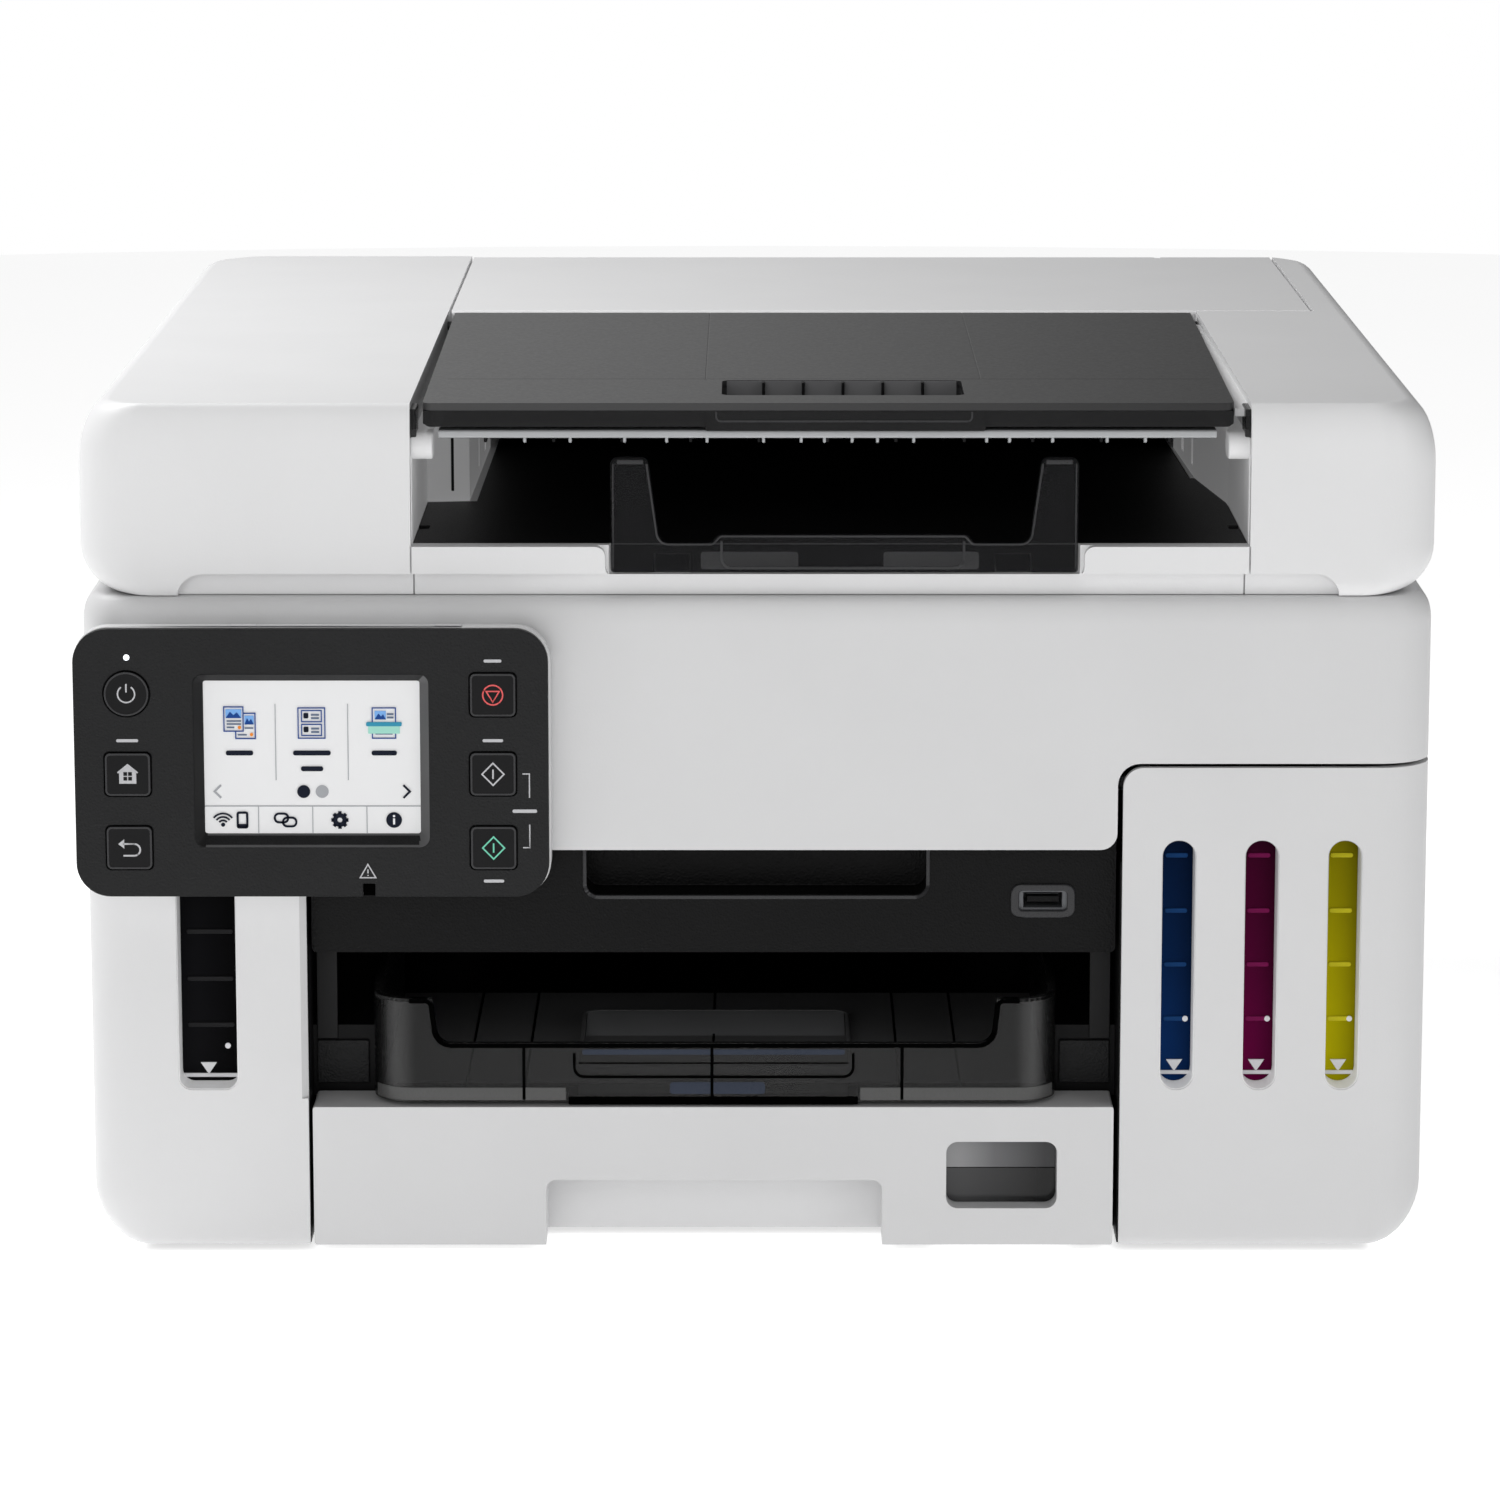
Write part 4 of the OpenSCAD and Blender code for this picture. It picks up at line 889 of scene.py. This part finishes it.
def make_output_tray():
    put = rider("output_tray", "smoked")
    x0, x1, y0, z0 = tray.x0, tray.x1, tray.y0, tray.z0
    top, rail = 77.2, 63.7
    back = tray.y1
    wall = xy(fillet([(x0, y0, 12), (x1, y0, 12), (x1, back, 1), (x0, back, 1)], 10), z0, top + 2.6)
    inside = xy(fillet([(x0 + 2.2, y0 + 2.2, 10), (x1 - 2.2, y0 + 2.2, 10), (x1 - 2.2, 0, 1), (x0 + 2.2, 0, 1)],
        10), z0 + 2.2, top + 9)
    dip = [(x0 + 17.9, top, 1.6), (x0 + 19.4, rail, 4.5), (x1 - 19.4, rail, 4.5), (x1 - 17.9, top, 1.6)]
    step = xz(fillet([(x0 + 17.9, top + 9), *dip, (x1 - 17.9, top + 9)]), y0 - 3, y0 + 16)
    front_top = yz(fillet([(y0 - 3, top), (y0 + 9, top), (y0 + 15, top + 2.6), (y0 + 15, top + 9),
        (y0 - 3, top + 9)]), x0 - 5, x1 + 5)
    rear = yz(fillet([(-125, top + 9), (-125, top + 2.6, 3), (-118, 67, 4), (-40, 67), (-40, top + 9)]), x0 - 5, x1
        + 5)
    cut(wall, inside, step, front_top, rear, block(-56.3, 30, y0 - 2, y0 + 5, z0 - 2, z0 + 1.6))
    put(wall, "tray_shell", tray_smoke_painted_sheen, 0.9, ["output_tray"], segments=3)
    line = fillet([(x0 + 11, top - 0.7), (x0 + 17.4, top - 0.7, 1.8), (x0 + 18.9, rail - 0.8, 5.2),
        (x1 - 18.9, rail - 0.8, 5.2), (x1 - 17.4, top - 0.7, 1.8), (x1 - 11, top - 0.7)])
    rim = prisms(stroke(line, 1.5), "xz", y0 - 0.2, y0 + 2.6)
    corners = []
    for cx, start, end in ((x0 + 12, 180, 270), (x1 - 12, 270, 360)):
        corners += stroke(arc(cx, y0 + 12, 11.1, start, end, 12), 1.8)
    put(rim, "tray_rim", line_black, 0.45, segments=3)
    put(prisms(corners, "xy", top - 1.2, top + 0.1), "tray_corner_rims", smoke_gloss, 0.3)
    dish = xy(rect(-54.4, -171, 28.5, -96, 5), z0 + 2.2, 51.4)
    cut(dish, xy(rect(-53.2, -169.8, 27.3, -97.2, 4), 48.3, 70))
    slope = yz([(-97.4, 48.4), (-97.4, 51.2), (-99, 51.2), (-122, 48.6)], -53, 27)
    put(dish, "tray_dish", smoke_floor, 0.4)
    put(slope, "tray_dish_slope", smoke_pale, 0)
    seams = [block(x - 0.35, x + 0.35, y0 + 3, back - 1, z0 + 2.1, z0 + 3.2)
        for x in (-87, -69.4, -13.5, 42.5, 60.6)]
    lines = [block(x - 0.45, x + 0.45, y0 - 0.2, y0 + 0.6, z0 + 0.6, rail - 1) for x in (-69.4, -13.5, 43)]
    strip = block(-56.2, 29.9, y0 + 0.1, y0 + 5.2, z0 - 0.9, z0 + 1.5)
    stop_ends = [block(a, a + 3, y0 + 0.4, y0 + 5, z0 + 0.2, z0 + 4.6) for a in (-56.2, 26.9)]
    put(gather(*seams, *lines), "tray_seams", line_black, 0)
    put(gather(strip, *stop_ends), "tray_stop_strip", line_black, 0.3)
    floor = block(x0 + 2.4, x1 - 2.4, y0 + 14, back - 0.5, z0 + 2.1, z0 + 3)
    put(floor, "tray_floor", smoke_floor, 0.2)
    veil = []
    for cx, start, end, far in ((x0 + 12, 205, 270, -57), (x1 - 12, 335, 270, 30.6)):
        veil += stroke(arc(cx, y0 + 12, 11.95, start, end, 14) + [(far, y0 + 0.05)], 0.3)
    put(prisms(veil, "xy", z0 + 0.5, z0 + 4.3), "tray_front_veil", smoke_veil, 0)
    labels = [xz(rect(-26, z0 + 2.4, 2.3, z0 + 6, 1), y0 - 0.1, y0 + 0.3),
        xz(rect(-52, 60.2, 26, 61.8, 0.6), y0 - 0.1, y0 + 0.3)]
    put(gather(*labels), "tray_labels", smoke_blue, 0)
    grip = stroke(fillet([(-54.4, 60.6), (-54.4, 53.4, 3), (28.5, 53.4, 3), (28.5, 60.6)]), 0.8)
    grip += stroke([(-53, 57.6), (27, 57.6)], 0.4)
    put(prisms(grip, "xz", y0 - 0.12, y0 + 0.4), "tray_grip_outline", line_black, 0)


make_output_tray()


# ---- control panel

PANEL_R = 10


def make_panel():
    put = rider("control_panel", "case_white")
    x0, x1, z0, z1 = housing.x0, housing.x1, housing.z0, housing.z1
    y = panel.y0
    shell = xz(rect(x0, z0, x1, z1, PANEL_R, 10), -202, -192.4)
    cut(shell, xz(rect(x0 + 2, z0 + 2, x1 - 2, z1 - 2, PANEL_R - 2, 10), -203, -194.4),
        block(-201, -60, -197.5, -191, 181.8, 192.5), *[block(x - 3.6, x + 3.6, -201.7, -191, 181.8, 192.5)
        for x in PANEL_HINGES])
    hinge = bar(-188, -72, *PANEL_PIN, 4.4)
    cut(hinge, *[block(x - 3.6, x + 3.6, -203, -190, 180, 192) for x in PANEL_HINGES])
    pins = [bar(x - 5, x + 5, *PANEL_PIN, 1.5) for x in PANEL_HINGES]
    web = [block(a, b, -199, -196, 186, 190) for a, b in ((-188, -154), (-146, -94), (-86, -72))]
    put(shell, "panel_back", white, 0.8, ["panel_housing"], segments=3)
    caps = [block(x - 3.7, x + 3.7, -201.9, -197.6, z1 - 0.7, z1 - 0.02) for x in PANEL_HINGES]
    put(gather(*caps), "panel_hinge_caps", white, 0)
    put(gather(hinge, *pins, *web), "panel_hinge", white, 0.3)

    plate = xz(rect(x0, z0, x1 - 0.5, z1 - 0.4, PANEL_R, 12), y, -202.1)
    sx0, sx1, sz0, sz1 = DISPLAY
    fx0, fx1, fz0, fz1 = -164.6, -95.8, 125.9, 177.6
    outer = [(p[0], y - 0.01, p[1]) for p in rect(fx0, fz0, fx1, fz1, 3, 6)]
    inner = [(p[0], screen.y0 - 0.2, p[1]) for p in rect(sx0, sz0, sx1, sz1, 0.8, 6)]
    deep = [(p[0], screen.y0 + 2, p[1]) for p in rect(sx0, sz0, sx1, sz1, 0.8, 6)]
    ahead = [(p[0], y - 2, p[1]) for p in rect(fx0, fz0, fx1, fz1, 3, 6)]
    cut(plate, loft([ahead, outer, inner, deep]))
    holes = [xz(disc(k.cx, k.cz, 6.9, 48) if name == "power" else rect(k.cx - 6.95, k.cz - 6.65, k.cx + 6.95, k.cz
        + 6.65, 1.6), y - 2, -200) for name, k in keys.items()]
    cut(plate, *holes, xz(rect(-115.6, 110, -112, 115.1, 0.3), y - 2, -200),
        xz(disc(-183.7, 182.4, 0.9, 20), y - 2, -200))
    put(plate, "panel_plate", charcoal, 0.9, ["panel_face"], segments=3, slot="charcoal")
    back = xz(rect(x0 + 2.2, z0 + 2.2, x1 - 2.2, z1 - 2.2, PANEL_R - 2.2, 8), -200.6, -199.6)
    cut(back, block(-166, -95, -203, -198, 124, 179))
    cut(back, *[block(k.x0 - 0.3, k.x1 + 0.3, -203, -198, k.z0 - 0.3, k.z1 + 0.3) for k in keys.values()])
    put(back, "panel_inner", black, 0, slot="frame_black")
    lip = [[(p[0], d, p[1]) for p in rect(a0, c0, a1, c1, r, 6)] for a0, c0, a1, c1, r,
        d in ((fx0 + 0.1, fz0 + 0.1, fx1 - 0.1, fz1 - 0.1, 3, y + 0.06),
        (sx0 + 0.1, sz0 + 0.1, sx1 - 0.1, sz1 - 0.1, 0.8, screen.y0 - 0.1))]
    # The bezel's right and bottom facets take the painted-light copy, and the rest keeps the black.
    for name, mat, lit in (("display_bezel", bezel_black, False), ("display_bezel_lit", bezel_painted_light, True)):
        bm = bmesh.new()
        rows = [[bm.verts.new(Vector(p) * MM) for p in points] for points in lip]
        count = len(rows[0])
        for i in range(count):
            j = (i + 1) % count
            mx = (lip[0][i][0] + lip[0][j][0]) / 2
            mz = (lip[0][i][2] + lip[0][j][2]) / 2
            if (mx > fx1 - 1.6 or (mz < fz0 + 1.6 and mx > fx0 + 3)) == lit:
                bm.faces.new((rows[0][i], rows[0][j], rows[1][j], rows[1][i]))
        bmesh.ops.delete(bm, geom=[v for v in bm.verts if not v.link_faces], context="VERTS")
        bezel = as_object(name, bm)
        thick = bezel.modifiers.new("thick", "SOLIDIFY")
        thick.thickness = 0.12 * MM
        bake(bezel)
        put(bezel, name, mat, 0, slot="charcoal")
    slot = block(-115.55, -112.05, -202.9, -202.02, z0 + 0.05, 115)
    put(slot, "alarm_lamp_recess", line_black, 0, slot="charcoal")


make_panel()

icon_grey = plastic("icon grey", (0.5, 0.5, 0.52), rough=0.5, strength=0.05)
icon_red = plastic("icon red", (0.75, 0.09, 0.09), rough=0.5, strength=0.05)
icon_green = plastic("icon green", (0.15, 0.6, 0.42), rough=0.5, strength=0.05)


def key_icon(name, shapes, mat, body, y):
    piece(prisms(shapes, "xz", y - 0.04, y + 0.12), name, body, mat, 0)


def make_keys():
    for name, k in keys.items():
        y0 = k.y0
        x, z = k.cx, k.cz
        if name == "power":
            sizes = ((6.3, 64), (6.5, 64), (5.95, 64), (7.6, 48), (2, 24))
            cap, outer, inner, foot, stem = [disc(x, z, r, n) for r, n in sizes]
        else:
            sizes = ((6.4, 6.1, 1.3), (6.6, 6.3, 1.5), (6.0, 5.7, 1.0), (7.7, 7.4, 1.5), (2, 2, 0.3))
            cap, outer, inner, foot, stem = [rect(x - w, z - h, x + w, z + h, r) for w, h, r in sizes]
        key = gather(xz(cap, y0 - 0.1, -201.8), xz(foot, -201.7, -200.8), xz(stem, -200.8, -198))
        rim = xz(outer, y0 - 0.25, y0 + 0.8)
        cut(rim, xz(inner, y0 - 3, y0 + 3))
        body = name + "_button"
        piece(key, name + "_key", body, key_black, 0.3, [body])
        piece(rim, name + "_key_rim", body, rim_black, 0.12)
        y = y0 - 0.1
        if name == "power":
            key_icon("power_icon", stroke(arc(x, z, 2.5, 125, 415, 22), 0.42)
                + stroke([(x, z + 0.5), (x, z + 3.0)], 0.45), icon_grey, body, y)
        elif name == "home":
            house = [(x - 2.5, z - 2.7), (x + 2.5, z - 2.7), (x + 2.5, z + 0.6), (x, z + 2.6), (x - 2.5, z + 0.6)]
            eaves = stroke([(x - 2.9, z + 0.5), (x, z + 2.9), (x + 2.9, z + 0.5)], 0.5)
            panes = [rect(x - 1.25 + a, z - 1.75 + b, x - 0.15 + a, z - 0.65 + b) for a in (0, 1.4)
                for b in (0, 1.4)]
            key_icon("home_icon", [house] + eaves, icon_grey, body, y)
            key_icon("home_icon_windows", panes, key_black, body, y - 0.06)
        elif name == "back":
            path = [(x - 1.8, z + 1.2)] + arc(x + 1.4, z - 0.55, 1.75, 90, -90, 10)
            path += [(x - 1.8, z - 2.3)]
            shapes = stroke(path, 0.5) + [[(x - 3.3, z + 1.2), (x - 1.5, z + 2.6), (x - 1.5, z - 0.2)]]
            key_icon("back_icon", shapes, icon_grey, body, y)
        elif name == "stop":
            shapes = stroke(arc(x, z, 2.9, 0, 351, 39), 0.42, True)
            shapes += stroke([(x - 1.9, z + 1.1), (x + 1.9, z + 1.1), (x, z - 2.1)], 0.38, True)
            key_icon("stop_icon", shapes, icon_red, body, y)
        else:
            mat = icon_grey if name == "mono" else icon_green
            shapes = stroke([(x - 3.2, z), (x, z + 3.3), (x + 3.2, z), (x, z - 3.3)], 0.42, True)
            shapes += stroke([(x, z - 1.4), (x, z + 1.4)], 0.45)
            key_icon(name + "_icon", shapes, mat, body, y)


make_keys()


def make_panel_marks():
    y = panel.y0
    bar_marks = []
    for x, z, w in ((keys["stop"].cx, 181.4, 5.2), (keys["mono"].cx, 157.8, 6.0), (keys["colour"].cx, 115.9, 6.0),
            (keys["home"].cx, 157.8, 6.4)):
        bar_marks.append(rect(x - w / 2, z - 0.45, x + w / 2, z + 0.45, 0.4, 3))
    bar_marks += stroke([(-68.6, 147.9), (-66.6, 147.9), (-66.6, 140.8)], 0.35)
    bar_marks += stroke([(-68.6, 125.9), (-66.6, 125.9), (-66.6, 132.8)], 0.35)
    bar_marks.append(rect(-71.6, 136.3, -64.4, 137.3, 0.4, 3))
    bar_marks += stroke([(-116.4, 116.9), (-114.1, 120.9), (-111.8, 116.9)], 0.35, True)
    bar_marks += stroke([(-114.1, 119.4), (-114.1, 118.2)], 0.35)
    bar_marks.append(disc(-114.1, 117.6, 0.2, 10))
    piece(prisms(bar_marks, "xz", y - 0.04, y + 0.2), "panel_marks", "control_panel", icon_grey, 0)
    lamp = graded("lamp", [(0, (0.85, 0.9, 1)), (1, (1, 1, 1))], "Z", 181, 184, rough=0.3, emission=1.4)
    dome = xz(disc(-183.7, 182.4, 0.85, 24), y - 0.25, y + 1.4)
    piece(dome, "status_lamp", "control_panel", lamp, 0.25)


make_panel_marks()


def flat_light(name, colour, glow):
    """Lit colour of the display, slightly brighter towards its top."""
    return graded("display " + name, [(0, scaled(colour, 0.97)), (1, colour)], "Z", 129, 176, rough=0.45,
        emission=glow, specular=0.1)


def moved(x, z, *groups):
    """Outlines drawn about the origin, moved to a place."""
    return [[(a + x, b + z) for a, b in outline] for group in groups for outline in group]


def make_screen():
    put = rider("control_panel", "lcd")
    y = screen.y0
    glass = xz(rect(screen.x0, screen.z0, screen.x1, screen.z1, 1), y, screen.y1)
    put(glass, "display_panel", flat_light("white", (0.76, 0.762, 0.768), 0.1), 0.2, ["lcd_screen"])
    x0, x1, z0, z1 = DISPLAY
    third = (x1 - x0) / 3
    dark, mid, pale, blue, teal, sky, amber = [], [], [], [], [], [], []
    centres = [x0 + third * (i + 0.5) for i in range(3)]
    iz = 162.5
    pale += [rect(x0 + third * i - 0.12, 145.5, x0 + third * i + 0.12, 168.2) for i in (1, 2)]
    # copy: two sheets with a picture
    c = centres[0]
    blue += moved(c, iz, stroke(rect(-4.4, -2.4, 1.2, 4.8), 0.32, True),
        stroke([(1.4, 2.9), (4.7, 2.9), (4.7, -4.6), (-1.0, -4.6), (-1.0, -2.6)], 0.32))
    for px, pz, w in ((-3.9, 1.5, 4.6), (1.6, -0.4, 2.7)):
        sky += moved(c + px, iz + pz, [rect(0, 0, w, 2.6)])
        blue += moved(c + px, iz + pz, [[(0, 0), (0.28 * w, 1.9), (0.5 * w, 0.9), (0.72 * w, 1.7), (w, 0)]])
    mid += moved(c, iz, [rect(*r) for r in ((-3.6, 0.4, 0.6, 0.8), (-3.6, -0.5, 0.6, -0.1), (1.6, -1.7, 4.1, -1.3),
        (-0.4, -3.7, 2.2, -3.3), (-3.6, -1.5, -1.4, -1.1))])
    amber += moved(c, iz, [disc(0.1, -1.3, 0.5, 12), disc(3.6, -3.4, 0.5, 12)])
    # card: a sheet with two card pictures
    c = centres[1]
    blue += moved(c, iz, stroke(rect(-3.9, -4.5, 3.9, 4.5), 0.3, True))
    for z in (iz + 0.4, iz - 3.7):
        blue += moved(c, z, stroke(rect(-2.9, 0, 2.9, 3.3), 0.28, True))
        dark += moved(c, z, [rect(-2.3, 1.0, -0.9, 2.6, 0.3, 3)])
        mid += moved(c, z, [rect(-0.1, 0.8, 2.2, 1.3), rect(-0.1, 1.8, 2.2, 2.3)])
    # scan: a sheet crossed by a bar
    c = centres[2]
    blue += moved(c, iz, stroke(rect(-3.4, -4.5, 3.4, 4.5), 0.3, True),
        [[(-2.7, 1.1), (-1.6, 2.9), (-0.8, 2.0), (-0.2, 2.6), (0.6, 1.1)]])
    sky += moved(c, iz, [rect(-2.7, 1.1, 0.6, 3.6)])
    mid += moved(c, iz, [rect(0.9, 1.4, 2.8, 1.9), rect(0.9, 2.4, 2.8, 2.9), rect(-2.5, -3.4, 2.5, -2.9)])
    teal += moved(c, iz, [rect(-5.2, -0.9, 5.2, 0.3, 0.3, 3)])
    green = moved(c, iz, [rect(-4.6, -3.1, 4.6, -0.9)])
    # short bars where the words stand
    for i, lengths in enumerate(((8,), (11, 6.5), (7.4,))):
        for row, w in enumerate(lengths):
            z = 153.6 - 4.7 * row
            dark.append(rect(centres[i] - w / 2, z - 0.7, centres[i] + w / 2, z + 0.7, 0.6, 3))
    # page dots, arrows
    dark.append(disc(-132.8, 142.1, 1.9, 28))
    pale.append(disc(-127.4, 142.1, 1.9, 28))
    pale += stroke([(-157.0, 144.0), (-158.9, 142.1), (-157.0, 140.2)], 0.6)
    dark += stroke([(-103.6, 144.0), (-101.7, 142.1), (-103.6, 140.2)], 0.6)
    # foot of the display
    pale += [rect(x0, 137.6, x1, 137.9)] + [rect(x0 + (x1 - x0) * i / 4 - 0.12, z0, x0 + (x1 - x0) * i / 4 + 0.12,
        137.6) for i in (1, 2, 3)]
    net, link, gear, info = [x0 + (x1 - x0) * (i + 0.5) / 4 for i in range(4)]
    z = 133.6
    for r in (1.2, 2.1, 3.0):
        dark += moved(net, z, stroke(arc(-2.5, -1.5, r * 1.15, 38, 142, 8), 0.5))
    dark += moved(net, z, [disc(-2.5, -1.4, 0.6, 12)], stroke(rect(1.8, -2.2, 4.6, 2.2, 0.4, 2), 0.65, True),
        [rect(1.8, -2.2, 4.6, -1.2)])
    dark += moved(link, z, stroke(rect(-3.2, -0.7, 0.7, 1.9, 1.2, 4), 0.6, True),
        stroke(rect(-0.8, -1.9, 3.1, 0.7, 1.2, 4), 0.6, True))
    dark += moved(gear, z, stroke(arc(0, 0, 1.4, 0, 340, 17), 1.3, True))
    for k in range(8):
        u, v = math.cos(math.radians(45 * k)), math.sin(math.radians(45 * k))
        dark += moved(gear, z, stroke([(1.8 * u, 1.8 * v), (2.5 * u, 2.6 * v)], 1.0))
    dark.append(disc(info, z, 2.3, 32))
    put(prisms(moved(info, z, [rect(-0.3, -1.3, 0.3, 0.4)]), "xz", y - 0.24, y + 0.1), "display_paper",
        flat_light("paper", (0.8, 0.81, 0.83), 0.06), 0)
    over = prisms(moved(info, z, [rect(-0.3, -1.3, 0.3, 0.5), disc(0, 1.2, 0.36, 12)]), "xz", y - 0.34, y + 0.1)
    put(over, "display_info", flat_light("info", (0.8, 0.81, 0.83), 0.06), 0)
    for name, shapes, colour, lift in (("pale", pale, (0.36, 0.37, 0.39), 0.16),
            ("mid", mid, (0.12, 0.16, 0.24), 0.3), ("sky", sky, (0.2, 0.42, 0.8), 0.26),
            ("blue", blue, (0.012, 0.06, 0.26), 0.32), ("dark", dark, (0.006, 0.009, 0.02), 0.32),
            ("amber", amber, (0.8, 0.25, 0.03), 0.34), ("green", green, (0.35, 0.68, 0.58), 0.36),
            ("teal", teal, (0.04, 0.28, 0.42), 0.4)):
        put(prisms(shapes, "xz", y - lift, y + 0.1), "display_" + name, flat_light(name, colour, 0.05), 0)


make_screen()

# ---- finishes of the frame's own nodes

for node, mat, edge in (("base_frame", black, 0.3), ("rear_panel", white, 0.4), ("connectors", grey, 0.2),
        ("rubber_feet", rubber, 0.4), ("main_board", board, 0.2), ("power_supply", zinc, 0.4),
        ("print_platen", black, 0.2), ("carriage_rail", steel, 0.2), ("timing_belts", rubber, 0.1),
        ("drive_motors", zinc, 0.6), ("purge_unit", grey, 0.4), ("rear_cover", satin_black, 0.4),
        ("maintenance_cartridge", grey, 0.6), ("carriage", black, 0.4), ("print_head", grey, 0.3),
        ("motor_pulley", steel, 0.2), ("idler_pulley", light_grey, 0.2), ("feed_roller", roller_grey, 0.3),
        ("eject_roller", roller_grey, 0.3), ("motor_pinion", brass, 0.2), ("pickup_roller", roller_grey, 0.4),
        ("cassette_tray", black, 0.3), ("lift_plate", steel, 0.2), ("paper_guide_left", grey, 0.3),
        ("paper_guide_right", grey, 0.3), ("length_guide", grey, 0.3), ("scan_bar", black, 0.3),
        ("adf_frame", black, 0.3), ("adf_floor", floor_black, 0.2), ("adf_roller", roller_grey, 0.4),
        ("pressure_pad", foam, 0.5), ("tank_cap_black", plastic("cap black", (0.03, 0.03, 0.03)), 0.4),
        ("tank_cap_cyan", plastic("cap cyan", (0.01, 0.12, 0.4)), 0.4),
        ("tank_cap_magenta", plastic("cap magenta", (0.35, 0.02, 0.12)), 0.4),
        ("tank_cap_yellow", plastic("cap yellow", (0.62, 0.48, 0.02)), 0.4)):
    dress(node, mat, edge)
dress("platen_glass", graded("scanner glass", [(0, (0.55, 0.66, 0.66)), (1, (0.6, 0.7, 0.7))], "Y", -167, 165,
    rough=0.02, alpha=0.35), 0.2)


# ---- studio

def area_light(name, where, aim, size, power, colour=(1, 1, 1)):
    data = bpy.data.lights.new(name, "AREA")
    data.shape = "RECTANGLE"
    data.size, data.size_y = size
    data.energy = power
    data.color = colour
    obj = bpy.data.objects.new(name, data)
    scene.collection.objects.link(obj)
    obj.location = where
    obj.rotation_euler = (Vector(aim) - Vector(where)).to_track_quat("-Z", "Y").to_euler()


def make_studio():
    world = bpy.data.worlds.new("studio")
    scene.world = world
    world.use_nodes = True
    tree = world.node_tree
    split = add(tree, "SeparateXYZ", {0: add(tree, "TexCoord").outputs["Generated"]})
    wall = ramp(tree, between(tree, split.outputs[0], -0.14, 0.14), [(0.0, (1.0,) * 3), (1.0, (0.16,) * 3)])
    blend = add(tree, "Mix")
    blend.data_type = "RGBA"
    blend.inputs[6].default_value = (0.45, 0.45, 0.45, 1)
    feed(tree, blend, {0: between(tree, split.outputs[1], 0.55, 0.9), 7: wall})
    lit = feed(tree, tree.nodes["Background"], {0: blend.outputs[2]}, Strength=0.6)
    seen = add(tree, "Background", Color=(1, 1, 1, 1), Strength=1.0)
    mix = add(tree, "MixShader", {0: add(tree, "LightPath").outputs["Is Camera Ray"], 1: lit.outputs[0],
        2: seen.outputs[0]})
    tree.links.new(mix.outputs[0], tree.nodes["World Output"].inputs[0])
    area_light("key", (-0.52, 0.0, 0.85), (-0.02, 0, 0.2), (0.5, 0.6), 5.9)
    area_light("front", (-0.5, -2.4, 0.9), (0, 0, 0.1), (1.6, 1.2), 10.6)
    area_light("fill", (1.7, -1.6, 0.8), (0, 0, 0.1), (1.2, 1.2), 6)
    scene.view_settings.view_transform = "Standard"
    floor = xy(disc(0, 0, 2600, 96), -20, 0)
    floor.name = "floor"
    mat, tree, shader, at = material("pale floor")
    feed(tree, shader, {"Base Color": flecks(tree, noise(tree, at, 3, 2), (0.93,) * 3, (0.95,) * 3)}, Roughness=0.8,
        Emission_Color=(1, 1, 1, 1), Emission_Strength=0.66)
    floor.data.materials.append(mat)


make_studio()
